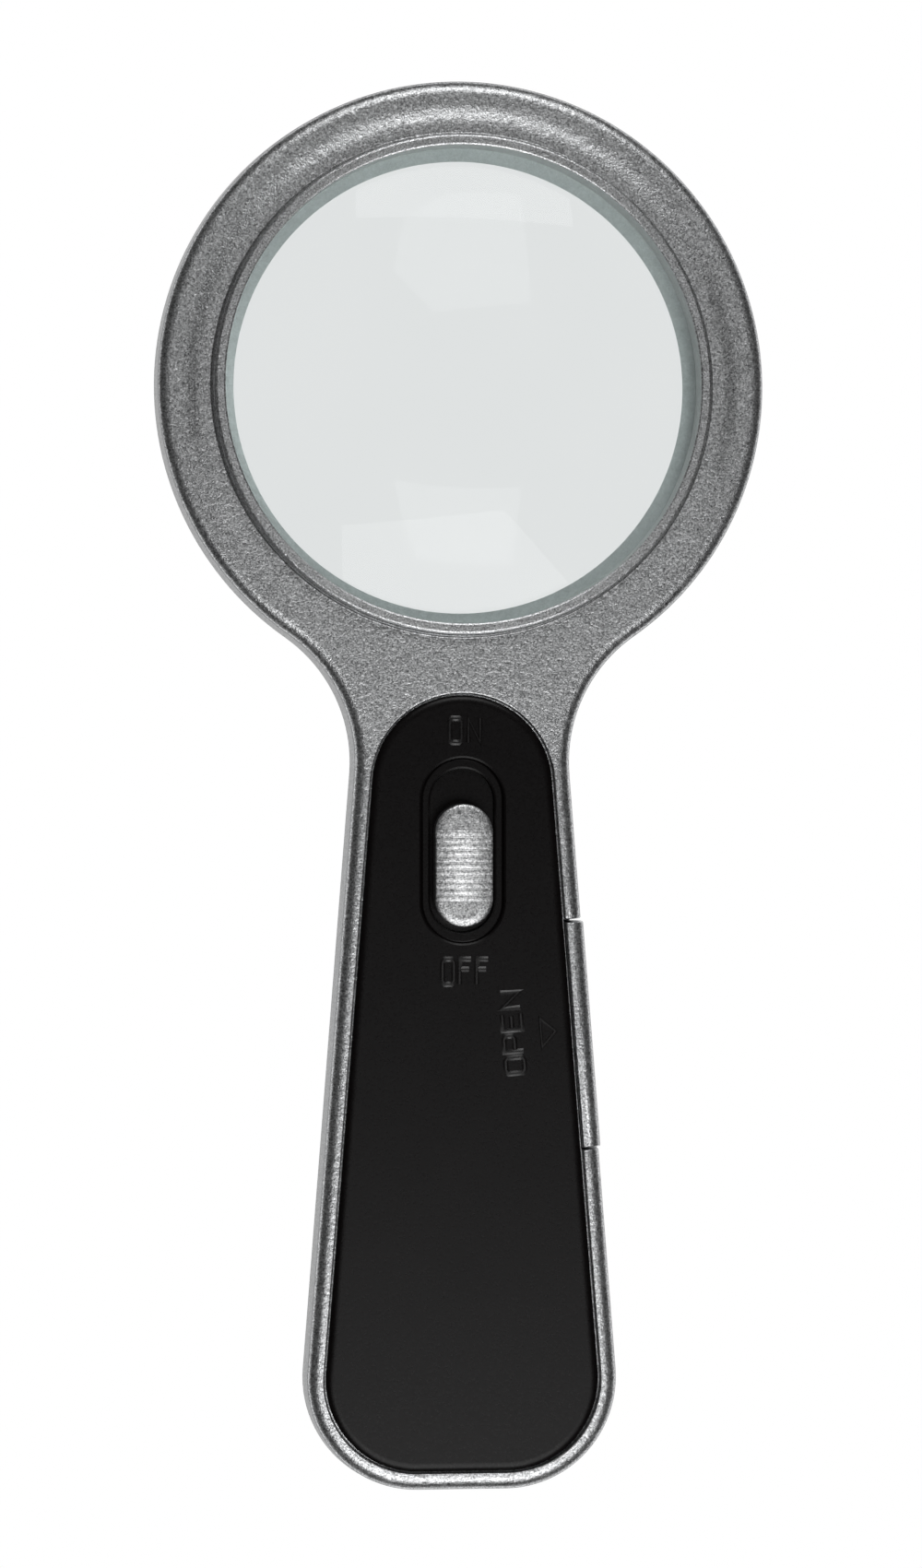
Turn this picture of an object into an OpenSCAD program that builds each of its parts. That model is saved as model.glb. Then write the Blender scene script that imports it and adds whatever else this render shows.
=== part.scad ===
// Illuminated hand magnifier: a round lens in a two-shell housing with a tapered handle, a slide
// switch in a black inlay, and a drawer of two coin cells in the side of the handle.
// Millimetres. +Z is the front, the back rests on z = 0, the head points to +Y, and the origin is
// at the middle of the outline.

/* [Outline] */
// Radius of the round head
head_r = 48.2; // [47.8:0.1:49]
// Distance from the head's centre to the free end of the handle
tail_len = 173.8; // [172:0.1:180]
// Radius of the hollow between head and handle
neck_r = 23.85; // [22:0.05:26]
// Distance from the head's centre to the line of the handle's side
side_offset = 12.55; // [12.5:0.05:13]
// Angle between the handle's side and its centre line, in degrees
taper = 4.48; // [4.4:0.02:4.8]
// Radius of the handle's lower corners
corner_r = 17.7; // [16:0.1:19]

/* [Heights] */
// Height of the housing's front face
front_z = 13.4; // [13.2:0.1:13.8]
// Height of the joint between the two shells
split_z = 7.4; // [7.2:0.1:8]
// Height of the collar's top
collar_z = 16.2; // [15.6:0.1:17.5]
// Thickness of the housing's walls
wall = 1.6; // [1.5:0.1:1.7]

/* [Lens] */
// Radius of the lens at its edge
lens_r = 38.5; // [38.3:0.1:38.5]
// Thickness of the lens at its edge
lens_edge = 3.0; // [2.4:0.1:3]
// Radius of curvature of both faces of the lens
lens_curve = 165; // [160:5:220]

/* [Inlay and switch] */
// Width of the silver rim beside the inlay
rim_w = 3.0; // [2.9:0.1:3.2]
// Distance from the head's centre to the middle of the switch well
well_y = 73.1; // [72.8:0.1:73.4]
// Distance from the head's centre to the middle of the button when off
button_y = 75.4; // [75.2:0.1:75.6]
// Travel of the button from off to on
switch_travel = 5.3; // [4.5:0.1:5.3]

/* [Battery drawer] */
// Radius of a coin cell
cell_r = 10; // [8:0.5:10]
// Height of a coin cell
cell_h = 3.2; // [3:0.1:3.2]
// Distance that the drawer face stands proud of the handle's side
drawer_proud = 0.35; // [0:0.05:0.4]

/* [Hidden] */
$fn = 96;
// Overshoot of a cut past the face that it opens
over = 0.1;
// Height of a cut that goes through everything above its foot
through = 10;
// Gap between pieces that are fixed together, and between pieces that slide
fit_gap = 0.1;
slide_gap = 0.3;

// Outline: circles of the head, the neck hollows and the lower corners, joined by tangent lines.
// An inset keeps every centre, so it gives the line that runs parallel to the outline inside it.
head_y = (tail_len - head_r) / 2;
side_normal = [cos(taper), sin(taper)];
side_down = [sin(taper), -cos(taper)];
neck_down = sqrt(pow(head_r + neck_r, 2) - pow(side_offset + neck_r, 2));
neck_c = (side_offset + neck_r) * side_normal + neck_down * side_down;
neck_angle = atan2(-neck_c[1], -neck_c[0]);
corner_c = [
    (side_offset - corner_r + (tail_len - corner_r) * sin(taper)) / cos(taper),
    corner_r - tail_len
];
// The inlay's top is one arc between its two sides
inlay_top_y = -62.9;

// Edge of the housing: the rolls at front and back, and how far each shell's side leans inwards
front_roll = 1.5;
back_roll = 1.8;
draft = 0.3;
rear_draft = 0.7;
roll_step = 22.5;

// Heights inside the housing
floor_z = wall;
roof_z = 10.6;
recess_z = 11.8;
inlay_z = 13.2;
well_floor_z = 11.6;
inlay_edge = [[0.25, recess_z], [0.25, 12.5], [0.5, 12.95], [1.0, inlay_z]];

// Head: dish between collar and rim, collar, ring wall round the lens, and the lens's two openings
dish_r = 43;
dish_depth = 0.4;
dish_half = 3.45;
dish_curve = (dish_half * dish_half + dish_depth * dish_depth) / (2 * dish_depth);
collar_foot_r = 39.75;
collar_top_r = 39.1;
collar_edge = 0.15;
ring_r = 40.2;
front_opening_r = 37.5;
rear_opening_r = 35.2;
rear_well_r = 38;
rear_well_z = 5;
lens_z = 7.3;
function lens_sag(r) = lens_curve - sqrt(lens_curve * lens_curve - r * r);
ledge_z = lens_z - lens_sag(lens_r) + lens_sag(rear_opening_r) - fit_gap / 2;
lip_z = lens_z + lens_edge + lens_sag(lens_r) - lens_sag(front_opening_r) + fit_gap / 2;

// Screws, given from the head's centre
head_screw_r = 43.5;
head_screw_angles = [50, 130, 205, 335];
handle_screw_places = [[12.3, -70], [-12.3, -70], [11, -150], [-11, -150]];
screw_r = 1.0;
screw_head_r = 2.0;
screw_head_z = 1.0;
screw_head_h = 1.3;
screw_tip_z = 10;
screw_cross = [2.2, 0.5, 0.7];
thread_gap = 0.02;
tip_gap = 0.3;
shank_gap = 0.1;
head_gap = 0.25;
boss_r = 2.6;
well_wall_r = 3.2;

// Switch, from the base on its board up to the button's ribs
board_t = 1.2;
switch_board_z = 2.4;
switch_board_size = [18, 25];
switch_board_y = -71;
switch_z = switch_board_z + board_t;
frame_size = [7.6, 16, 3.6];
frame_t = 0.4;
base_t = 0.8;
terminal_t = 0.15;
terminal_size = [2.4, 2.6];
terminal_pitch = 4;
pin_r = 0.4;
pin_end = 0.5;
hole_gap = 0.05;
wiper_w = 3;
wiper_line = [
    [-3, 5.2], [-2, 4.65], [2, 4.65], [3, 5.2], [2.7, 5.2], [1.9, 4.85], [-1.9, 4.85], [-2.7, 5.2]
];
knob_size = [2.2, 2.4];
slider_size = [6, 7];
slider_z = [5.25, 6.5];
knob_top_z = 10;
knob_gap = 0.15;
stem_size = [4.8, 6.4];
stem_z = 7.5;
button_size = [9.1, 19.35];
button_z = well_floor_z + 0.2;
button_face_z = 15.2;
button_edge = [0.35, 0.4];
rib_count = 11;
rib_pitch = 1.02;
rib_w = 0.55;
rib_h = 0.4;
well_outer = [13.05, 29.1];
well_inner = [9.96, 25.6];
well_step_z = 12.6;
well_boss = [14.8, 30.8];
boss_gap = 0.4;
switch_y = switch_travel / 2 - button_y;

// Lamp board in the neck, its three lamps and its resistor
led_board_z = 6.2;
led_board_size = [22, 9.6];
led_board_y = -46.5;
led_y = -45.2;
led_pitch = 5.5;
led_r = 1.5;
led_flange_r = 1.9;
led_tip_z = 0.9;
led_flange_h = 1;
led_hole_gap = 0.15;
led_recess = [5.2, 17];
led_recess_z = 0.5;
lead_root = 0.5;
lead_r = 0.25;
lead_gap = 1.27;
lead_top_z = 7.9;
stake_r = 0.7;
stake_h = 0.4;
post_r = 1.8;
led_post_x = 9;
switch_post = [7, -9.5];
resistor_c = [7.6, -49.4];
resistor_r = 0.9;
resistor_len = 2.8;
resistor_span = 4.4;
resistor_end = 0.6;

// Drawer, in axes that lie along the handle's side: x is the side's normal, y runs up the side
drawer_y = -103.25;
drawer_len = 35.6;
drawer_gap_up = 0.5;
drawer_gap_down = 0.3;
drawer_gap_in = 0.15;
drawer_reach = 5;
drawer_z = 2.0;
sill_z = 1.8;
flange_z = 10.45;
drawer_inner_x = side_offset - 1.4;
flange_x = side_offset - rim_w + 0.1;
tray_len = 32.7;
tray_end_x = -12.4;
tray_floor_t = 1.0;
tray_top_z = 10.2;
pocket_x = -0.5;
pocket_r = cell_r + slide_gap;
cell_z = drawer_z + tray_floor_t;
notch_w = 6.4;
notch_end_x = pocket_x + 3;
guide_t = 1.2;
guide_top_z = 9.5;
guide_gap_out = 0.4;
stop_gap = 9.5;
contact_w = 5;
contact_t = 0.2;
contact_tail_x = -22;
positive_bend_x = -14;
negative_bend_x = -13;
// Half-length of a contact's bump, and its gaps to the cell before, on and after the bump
contact_bump = 1.5;
contact_lift = [0.1, 0.05, 0.25];
cell_foot = [1.2, 0.3];
wire_r = 0.5;
solder_r = 0.9;

// Routes of the wires, from the head's centre
positive_route = [[-14, -104.3, 9.85], [-15.6, -99, 9.6], [-15.6, -92, 8.8], [-12.5, -86, 7.2],
    [-9, -82.6, 5.4], [-7.4, -80.4, 4.1]];
negative_route = [[-14, -104.6, 2.3], [-16, -99, 2.3], [-15.4, -91, 2.4], [-11.5, -86.4, 2.9],
    [-8, -84, 4.2], [-5.4, -80, 4.9], [-5.6, -70, 4.9], [-6, -60, 5.7], [-6, -54.6, 7.9], [-6, -50, 8.0]];
led_route = [[3, -61.4, 4.1], [3, -58.2, 5.2], [3, -54.4, 7.9], [3, -50.2, 8.0]];

// Points of an arc round a place given from the head's centre
function arc(c, r, from, to, step, first = 0) =
    let (n = ceil(abs(to - from) / step))
    [for (i = [first : n])
        let (a = from + (to - from) * i / n)
        [c[0] + r * cos(a), head_y + c[1] + r * sin(a)]];
function housing_side(inset) = concat(
    arc([0, 0], head_r - inset, 90, neck_angle - 180, 3.6),
    arc(neck_c, neck_r + inset, neck_angle, 180 + taper, 6, 1),
    arc(corner_c, corner_r - inset, taper, -90, 6)
);
function inlay_side(inset) = concat(
    arc([0, inlay_top_y], side_offset - rim_w - inset - inlay_top_y * sin(taper), 90, taper, 6),
    arc(corner_c, corner_r - rim_w - inset, taper, -90, 6)
);
function both_sides(side) = concat(
    side,
    [for (i = [len(side) - 1 : -1 : 1]) [-side[i][0], side[i][1]]]
);

// Solid through parallel outlines, from the lowest to the highest. Its two ends are strips from
// side to side, because the outline is hollow at the neck.
module loft(sides, heights) {
    n = len(sides[0]);
    m = len(heights);
    points = [for (k = [0 : m - 1]) each concat(
        [for (p = sides[k]) [p[0], p[1], heights[k]]],
        [for (p = sides[k]) [-p[0], p[1], heights[k]]]
    )];
    top = 2 * n * (m - 1);
    right = [for (k = [0 : m - 2], i = [0 : n - 2])
        let (a = 2 * n * k + i, b = a + 2 * n)
        each [[a, a + 1, b + 1], [a, b + 1, b]]];
    left = [for (f = right) [f[0] + n, f[2] + n, f[1] + n]];
    foot = [for (k = [0 : m - 2])
        let (a = 2 * n * k + n - 1, b = a + 2 * n)
        each [[a, a + n, b + n], [a, b + n, b]]];
    ends = [for (i = [0 : n - 2]) each [
        [i, n + i, n + i + 1, i + 1],
        [top + i, top + i + 1, top + n + i + 1, top + n + i]
    ]];
    polyhedron(points = points, faces = concat(right, left, foot, ends));
}

// Round tube along a smooth curve through a route's points
module tube(route, r) {
    sides = 8;
    steps = 4;
    last = len(route) - 1;
    function knot(i) = route[max(0, min(last, i))];
    function curve(i, t) = 0.5 * (2 * knot(i) + (knot(i + 1) - knot(i - 1)) * t
        + (2 * knot(i - 1) - 5 * knot(i) + 4 * knot(i + 1) - knot(i + 2)) * t * t
        + (3 * knot(i) - knot(i - 1) - 3 * knot(i + 1) + knot(i + 2)) * t * t * t);
    path = concat([for (i = [0 : last - 1], k = [0 : steps - 1]) curve(i, k / steps)], [knot(last)]);
    n = len(path);
    points = [for (i = [0 : n - 1])
        let (
            ahead = path[min(n - 1, i + 1)] - path[max(0, i - 1)],
            t = ahead / norm(ahead),
            flat = cross(t, [0, 0, 1]),
            u = flat / norm(flat),
            v = cross(u, t)
        )
        each [for (k = [0 : sides - 1])
            let (a = 360 * k / sides)
            path[i] + r * (cos(a) * u + sin(a) * v)]];
    skin = [for (i = [0 : n - 2], k = [0 : sides - 1])
        let (a = i * sides + k, b = i * sides + (k + 1) % sides)
        each [[a, b, b + sides], [a, b + sides, a + sides]]];
    caps = [
        [for (k = [0 : sides - 1]) sides - 1 - k],
        [for (k = [0 : sides - 1]) (n - 1) * sides + k]
    ];
    polyhedron(points = points, faces = concat(skin, caps));
}

module at_head() translate([0, head_y, 0]) children();

module at_drawer() at_head() rotate([0, 0, taper]) translate([0, drawer_y, 0]) children();

// Upright stadium: a slot with round ends along y
module stadium(size, z0, z1) {
    half = (size[1] - size[0]) / 2;
    for (s = [-1, 1]) translate([0, s * half, z0]) cylinder(d = size[0], h = z1 - z0);
    translate([-size[0] / 2, -half, z0]) cube([size[0], 2 * half, z1 - z0]);
}

// Block between two heights, centred on x and y
module block(size, z0, z1) translate([-size[0] / 2, -size[1] / 2, z0]) cube([size[0], size[1], z1 - z0]);

// Block between two corners
module span(low, high) translate(low) cube(high - low);

module housing_prism(inset, z0, z1)
    translate([0, 0, z0]) linear_extrude(z1 - z0) polygon(both_sides(housing_side(inset)));

module at_head_screws() at_head() for (a = head_screw_angles)
    rotate([0, 0, a]) translate([head_screw_r, 0, 0]) children();

module at_handle_screws() at_head() for (p = handle_screw_places) translate([p[0], p[1], 0]) children();

module at_leds() at_head() for (i = [-1 : 1]) translate([i * led_pitch, led_y, 0]) children();

// Places of the two posts under each board
module at_led_posts() at_head() for (s = [-1, 1]) translate([s * led_post_x, led_board_y, 0]) children();

module at_switch_posts() at_head() for (s = [-1, 1])
    translate([s * switch_post[0], switch_board_y + s * switch_post[1], 0]) children();

// Place of the button at rest
module at_button() at_head() translate([0, -button_y, 0]) children();

module collar() at_head() rotate_extrude() polygon([
    [front_opening_r - 1, roof_z], [collar_foot_r, roof_z], [collar_foot_r, front_z],
    [collar_top_r, collar_z - collar_edge], [collar_top_r - collar_edge, collar_z],
    [front_opening_r - 1, collar_z]
]);

// Space that the drawer takes out of the housing's side
module drawer_opening() at_drawer() {
    y0 = -drawer_len / 2 - drawer_gap_down;
    y1 = drawer_len / 2 + drawer_gap_up;
    outside = side_offset + drawer_reach;
    span([flange_x - drawer_gap_in, y0, flange_z - drawer_gap_in], [outside, y1, front_z + over]);
    span([side_offset - wall - drawer_gap_in, y0, sill_z], [outside, y1, flange_z]);
}

module front_shell() color("silver") {
    difference() {
        union() {
            difference() {
                loft(
                    concat(
                        [housing_side(0)],
                        [for (a = [0 : roll_step : 90]) housing_side(draft + front_roll * (1 - cos(a)))]
                    ),
                    concat(
                        [split_z],
                        [for (a = [0 : roll_step : 90]) front_z - front_roll * (1 - sin(a))]
                    )
                );
                at_head() rotate_extrude() translate([dish_r, front_z - dish_depth + dish_curve])
                    circle(r = dish_curve);
            }
            collar();
        }
        difference() {
            housing_prism(wall, split_z - over, roof_z);
            at_head() cylinder(r = ring_r, h = roof_z + over);
            at_head_screws() cylinder(r = boss_r, h = roof_z + over);
            at_handle_screws() cylinder(r = boss_r, h = roof_z + over);
        }
        translate([0, 0, recess_z]) linear_extrude(front_z) polygon(both_sides(inlay_side(0)));
        at_head() translate([0, -well_y, 0])
            stadium(well_boss + 2 * [boss_gap, boss_gap], roof_z - over, recess_z + over);
        at_head() translate([0, 0, split_z - over])
            cylinder(r = lens_r + fit_gap, h = lip_z - split_z + over);
        at_head() translate([0, 0, lip_z - over]) cylinder(r = front_opening_r, h = collar_z);
        at_head_screws() cylinder(r = screw_r + thread_gap, h = screw_tip_z + tip_gap);
        at_handle_screws() cylinder(r = screw_r + thread_gap, h = screw_tip_z + tip_gap);
        drawer_opening();
    }
}

// Rails beside the drawer tray, and the stops behind its inner end
module drawer_guides() at_drawer() {
    half = tray_len / 2 + slide_gap;
    end_x = tray_end_x - slide_gap;
    foot_z = floor_z - over;
    out_x = side_offset - wall - guide_gap_out;
    stop_len = half + guide_t - stop_gap / 2;
    for (s = [-1, 1]) {
        edge = s > 0 ? half : -half - guide_t;
        stop = s > 0 ? stop_gap / 2 : -half - guide_t;
        span([end_x - guide_t, edge, foot_z], [out_x, edge + guide_t, guide_top_z]);
        span([end_x - guide_t, stop, foot_z], [end_x, stop + stop_len, guide_top_z]);
    }
}

module rear_shell() color("silver") {
    difference() {
        union() {
            difference() {
                loft(
                    concat(
                        [for (a = [90 : -roll_step : 0])
                            housing_side(rear_draft + back_roll * (1 - cos(a)))],
                        [housing_side(0)]
                    ),
                    concat([for (a = [90 : -roll_step : 0]) back_roll * (1 - sin(a))], [split_z])
                );
                difference() {
                    housing_prism(wall, floor_z, split_z + over);
                    at_head() cylinder(r = ring_r, h = split_z + 1);
                    at_head_screws() cylinder(r = well_wall_r, h = split_z + 1);
                    at_handle_screws() cylinder(r = well_wall_r, h = split_z + 1);
                }
            }
            drawer_guides();
            at_led_posts() board_post(led_board_z);
            at_switch_posts() board_post(switch_board_z);
        }
        at_head() translate([0, 0, -over])
            cylinder(r1 = rear_well_r, r2 = rear_opening_r, h = rear_well_z + over);
        at_head() cylinder(r = rear_opening_r, h = split_z);
        at_head() translate([0, 0, ledge_z]) cylinder(r = lens_r + fit_gap, h = split_z);
        at_head_screws() screw_well();
        at_handle_screws() screw_well();
        at_leds() translate([0, 0, -over]) cylinder(r = led_r + led_hole_gap, h = floor_z + 2 * over);
        at_head() translate([0, led_y, 0]) rotate([0, 0, 90]) stadium(led_recess, -over, led_recess_z);
        drawer_opening();
    }
}

// Post that carries a board, with a stake that comes out through the board
module board_post(board_z) {
    translate([0, 0, floor_z - over]) cylinder(r = post_r, h = board_z - floor_z + over);
    translate([0, 0, floor_z]) cylinder(r = stake_r, h = board_z + board_t + stake_h - floor_z);
}

module screw_well() {
    translate([0, 0, -over])
        cylinder(r = screw_head_r + head_gap, h = screw_head_z + screw_head_h + over);
    cylinder(r = screw_r + shank_gap, h = split_z + 1);
}

module handle_inlay() color([0.09, 0.09, 0.1]) {
    difference() {
        union() {
            loft([for (p = inlay_edge) inlay_side(p[0])], [for (p = inlay_edge) p[1]]);
            at_head() translate([0, -well_y, 0]) stadium(well_boss, roof_z, recess_z + over);
        }
        at_head() translate([0, -well_y, 0]) stadium(well_outer, well_step_z, front_z + 1);
        at_head() translate([0, -well_y, 0]) stadium(well_inner, well_floor_z, front_z);
        at_head() translate([0, switch_y, 0]) block(
            stem_size + [2 * slide_gap, switch_travel + 2 * slide_gap], roof_z - 1, well_floor_z + over
        );
    }
}

module lens() color([0.85, 0.92, 0.92, 0.4]) at_head() intersection() {
    translate([0, 0, lens_z - lens_curve]) cylinder(r = lens_r, h = 2 * lens_curve);
    translate([0, 0, lens_z - lens_sag(lens_r) + lens_curve]) sphere(r = lens_curve, $fn = 200);
    translate([0, 0, lens_z + lens_edge + lens_sag(lens_r) - lens_curve])
        sphere(r = lens_curve, $fn = 200);
}

// Self-tapping screw with a pan head that has a cross recess
module screw() {
    difference() {
        translate([0, 0, screw_head_z]) cylinder(r = screw_head_r, h = screw_head_h);
        for (a = [0, 90]) rotate([0, 0, a])
            block(screw_cross, screw_head_z - over, screw_head_z + screw_cross[2]);
    }
    translate([0, 0, screw_head_z + screw_head_h])
        cylinder(r = screw_r, h = screw_tip_z - screw_head_z - screw_head_h);
}

module head_screws() color("dimgray") at_head_screws() screw();

module handle_screws() color("dimgray") at_handle_screws() screw();

module switch_button() color("gainsboro") at_button() {
    difference() {
        union() {
            stadium(button_size, button_z, button_face_z - button_edge[1]);
            stadium(button_size - 2 * [button_edge[0], button_edge[0]], button_z, button_face_z);
            block(stem_size, stem_z, button_z + over);
        }
        block(knob_size + 2 * [knob_gap, knob_gap], stem_z - over, knob_top_z + slide_gap);
    }
    for (i = [0 : rib_count - 1]) translate([0, (i - (rib_count - 1) / 2) * rib_pitch, 0])
        block([button_size[0] - 2 * button_edge[0], rib_w], button_face_z - over, button_face_z + rib_h);
}

module switch_slider() color("black") at_button() {
    block(slider_size, slider_z[0], slider_z[1]);
    block(knob_size, slider_z[0], knob_top_z);
}

module switch_wiper() color("goldenrod") at_button() rotate([90, 0, 90])
    translate([0, 0, -wiper_w / 2]) linear_extrude(wiper_w) polygon(wiper_line);

module switch_frame() color("lightgray") at_head() translate([0, switch_y, 0]) difference() {
    block(frame_size, switch_z, switch_z + frame_size[2]);
    block(
        frame_size - [2 * frame_t, 2 * frame_t, 0],
        switch_z - over, switch_z + frame_size[2] - frame_t
    );
    block(
        knob_size + [2 * slide_gap, switch_travel + 2 * slide_gap],
        switch_z, switch_z + frame_size[2] + over
    );
}

// Places of the three terminals under the slider's path
module at_terminals() at_head() for (i = [-1 : 1])
    translate([0, switch_y + i * terminal_pitch, 0]) children();

module switch_base() color("saddlebrown") difference() {
    at_head() translate([0, switch_y, 0]) block(
        frame_size - [2 * frame_t + fit_gap, 2 * frame_t + fit_gap, 0], switch_z, switch_z + base_t
    );
    at_terminals() cylinder(r = pin_r + hole_gap, h = through);
}

module switch_terminals() color("silver") at_terminals() {
    block(terminal_size, switch_z + base_t, switch_z + base_t + terminal_t);
    translate([0, 0, switch_board_z - pin_end])
        cylinder(r = pin_r, h = pin_end + board_t + base_t + terminal_t);
}

module switch_board() color("darkgreen") difference() {
    at_head() translate([0, switch_board_y, 0]) block(switch_board_size, switch_board_z, switch_z);
    at_terminals() cylinder(r = pin_r + hole_gap, h = through);
    at_switch_posts() cylinder(r = stake_r + hole_gap, h = through);
}

module led_board() color("darkgreen") difference() {
    at_head() translate([0, led_board_y, 0]) block(led_board_size, led_board_z, led_board_z + board_t);
    at_leds() for (s = [-1, 1]) translate([s * lead_gap, 0, 0])
        cylinder(r = lead_r + hole_gap, h = through);
    at_led_posts() cylinder(r = stake_r + hole_gap, h = through);
    at_head() for (s = [-1, 1]) translate([resistor_c[0] + s * resistor_span / 2, resistor_c[1], 0])
        cylinder(r = lead_r + hole_gap, h = through);
}

// Lamp that points to the back, with its two leads through the board
module lamp(x) color("lightyellow") at_head() translate([x, led_y, 0]) {
    translate([0, 0, led_tip_z + led_r]) sphere(r = led_r);
    translate([0, 0, led_tip_z + led_r]) cylinder(r = led_r, h = led_board_z - led_tip_z - led_r);
    translate([0, 0, led_board_z - led_flange_h]) cylinder(r = led_flange_r, h = led_flange_h);
    for (s = [-1, 1]) translate([s * lead_gap, 0, led_board_z - lead_root])
        cylinder(r = lead_r, h = lead_top_z - led_board_z + lead_root);
}

module led_left() lamp(-led_pitch);

module led_centre() lamp(0);

module led_right() lamp(led_pitch);

module series_resistor() color("tan") at_head() translate([resistor_c[0], resistor_c[1], 0]) {
    axis_z = led_board_z + board_t + resistor_r;
    translate([-resistor_len / 2, 0, axis_z]) rotate([0, 90, 0])
        cylinder(r = resistor_r, h = resistor_len);
    translate([-resistor_span / 2, 0, axis_z]) rotate([0, 90, 0]) cylinder(r = lead_r, h = resistor_span);
    for (s = [-1, 1]) translate([s * resistor_span / 2, 0, led_board_z - resistor_end])
        cylinder(r = lead_r, h = axis_z - led_board_z + resistor_end);
}

// Section of the drawer's face: flange over the front, rolled edge, and side wall
module drawer_face() color("silver") at_drawer() translate([0, drawer_len / 2, 0]) rotate([90, 0, 0])
    linear_extrude(drawer_len) polygon(concat(
        [[flange_x, flange_z], [drawer_inner_x, flange_z], [drawer_inner_x, drawer_z]],
        [[side_offset + drawer_proud - rear_draft, drawer_z], [side_offset + drawer_proud, split_z]],
        [for (a = [0 : 15 : 90]) [
            side_offset + drawer_proud - draft - front_roll * (1 - cos(a)),
            front_z - front_roll * (1 - sin(a))
        ]],
        [[flange_x, front_z]]
    ));

module drawer_tray() color([0.12, 0.12, 0.13]) at_drawer() difference() {
    span([tray_end_x, -tray_len / 2, drawer_z], [drawer_inner_x, tray_len / 2, tray_top_z]);
    translate([pocket_x, 0, cell_z]) cylinder(r = pocket_r, h = tray_top_z);
    low_notch = [tray_end_x - over, -notch_w / 2, drawer_z - over];
    high_notch = [tray_end_x - over, -notch_w / 2, cell_z + 2 * cell_h - over];
    span(low_notch, [notch_end_x, notch_w / 2, cell_z + over]);
    span(high_notch, [pocket_x, notch_w / 2, tray_top_z + over]);
}

// Coin cell: a wide cup under a slightly smaller rim, as the seal between them shows
module cell(z) color("lightsteelblue") at_drawer() translate([pocket_x, 0, z]) {
    cylinder(r = cell_r - cell_foot[0], h = cell_foot[1]);
    translate([0, 0, cell_foot[1]]) cylinder(r = cell_r, h = cell_h - cell_foot[1]);
}

module lower_cell() cell(cell_z);

module upper_cell() cell(cell_z + cell_h);

// Leaf spring with the given line of its underside
module leaf(line) at_drawer() translate([0, contact_w / 2, 0]) rotate([90, 0, 0])
    linear_extrude(contact_w)
        polygon(concat(line, [for (i = [len(line) - 1 : -1 : 0]) line[i] + [0, contact_t]]));

module positive_contact() color("gold") {
    z = cell_z + 2 * cell_h;
    leaf([
        [contact_tail_x, roof_z - contact_t], [positive_bend_x, roof_z - contact_t],
        [pocket_x - contact_bump, z + contact_lift[0]], [pocket_x, z + contact_lift[1]],
        [pocket_x + contact_bump, z + contact_lift[2]]
    ]);
}

module negative_contact() color("gold") {
    z = cell_z - contact_t;
    leaf([
        [contact_tail_x, floor_z], [negative_bend_x, floor_z],
        [pocket_x - contact_bump, z - contact_lift[0]], [pocket_x, z - contact_lift[1]],
        [pocket_x + contact_bump, z - contact_lift[2]]
    ]);
}

module positive_wire() color("red") at_head() tube(positive_route, wire_r);

module negative_wire() color("dimgray") at_head() tube(negative_route, wire_r);

module led_wire() color("firebrick") at_head() tube(led_route, wire_r);

// Drop of solder on a face at height z, above it or below it
module solder(place, z, up) at_head() translate([place[0], place[1], z]) intersection() {
    sphere(r = solder_r, $fn = 32);
    translate([-solder_r, -solder_r, up ? 0 : -2 * solder_r]) cube(2 * solder_r);
}

module solder_joints() color("lightgray") {
    solder(positive_route[0], roof_z - contact_t, false);
    solder(positive_route[len(positive_route) - 1], switch_z, true);
    solder(negative_route[0], floor_z + contact_t, true);
    solder(negative_route[len(negative_route) - 1], led_board_z + board_t, true);
    solder(led_route[0], switch_z, true);
    solder(led_route[len(led_route) - 1], led_board_z + board_t, true);
}

front_shell();
rear_shell();
handle_inlay();
lens();
head_screws();
handle_screws();
switch_button();
switch_slider();
switch_wiper();
switch_frame();
switch_base();
switch_terminals();
switch_board();
led_board();
led_left();
led_centre();
led_right();
series_resistor();
drawer_face();
drawer_tray();
lower_cell();
upper_cell();
positive_contact();
negative_contact();
positive_wire();
negative_wire();
led_wire();
solder_joints();
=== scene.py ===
"""Illuminated hand magnifier: the looks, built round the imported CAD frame.

Lengths are millimetres until a Shape becomes a mesh in metres. Outline places are given from the
middle of the round head, which is HEAD_Y above the frame's origin. +Z is the front of the housing.
"""

import math

import bmesh
import bpy
from mathutils import Matrix, Vector
from mathutils.geometry import area_tri, delaunay_2d_cdt


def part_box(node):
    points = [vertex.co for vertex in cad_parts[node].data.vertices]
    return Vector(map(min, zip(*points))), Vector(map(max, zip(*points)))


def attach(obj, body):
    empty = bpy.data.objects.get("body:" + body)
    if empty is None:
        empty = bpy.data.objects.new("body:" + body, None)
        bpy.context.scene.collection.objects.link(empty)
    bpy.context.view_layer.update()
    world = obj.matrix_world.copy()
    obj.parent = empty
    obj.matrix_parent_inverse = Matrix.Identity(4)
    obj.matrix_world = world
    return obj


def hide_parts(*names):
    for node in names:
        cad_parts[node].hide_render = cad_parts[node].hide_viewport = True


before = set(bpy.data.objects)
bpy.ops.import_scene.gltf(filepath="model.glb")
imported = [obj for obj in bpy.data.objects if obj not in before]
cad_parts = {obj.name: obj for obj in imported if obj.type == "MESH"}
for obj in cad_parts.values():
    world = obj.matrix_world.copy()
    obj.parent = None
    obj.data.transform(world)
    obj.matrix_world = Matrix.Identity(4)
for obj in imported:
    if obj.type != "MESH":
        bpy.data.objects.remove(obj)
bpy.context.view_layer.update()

# ---------------------------------------------------------------- sizes

MM = 0.001


def low(node):
    """Lowest corner of a CAD node, in millimetres."""
    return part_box(node)[0] / MM


def high(node):
    """Highest corner of a CAD node, in millimetres."""
    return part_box(node)[1] / MM


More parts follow.
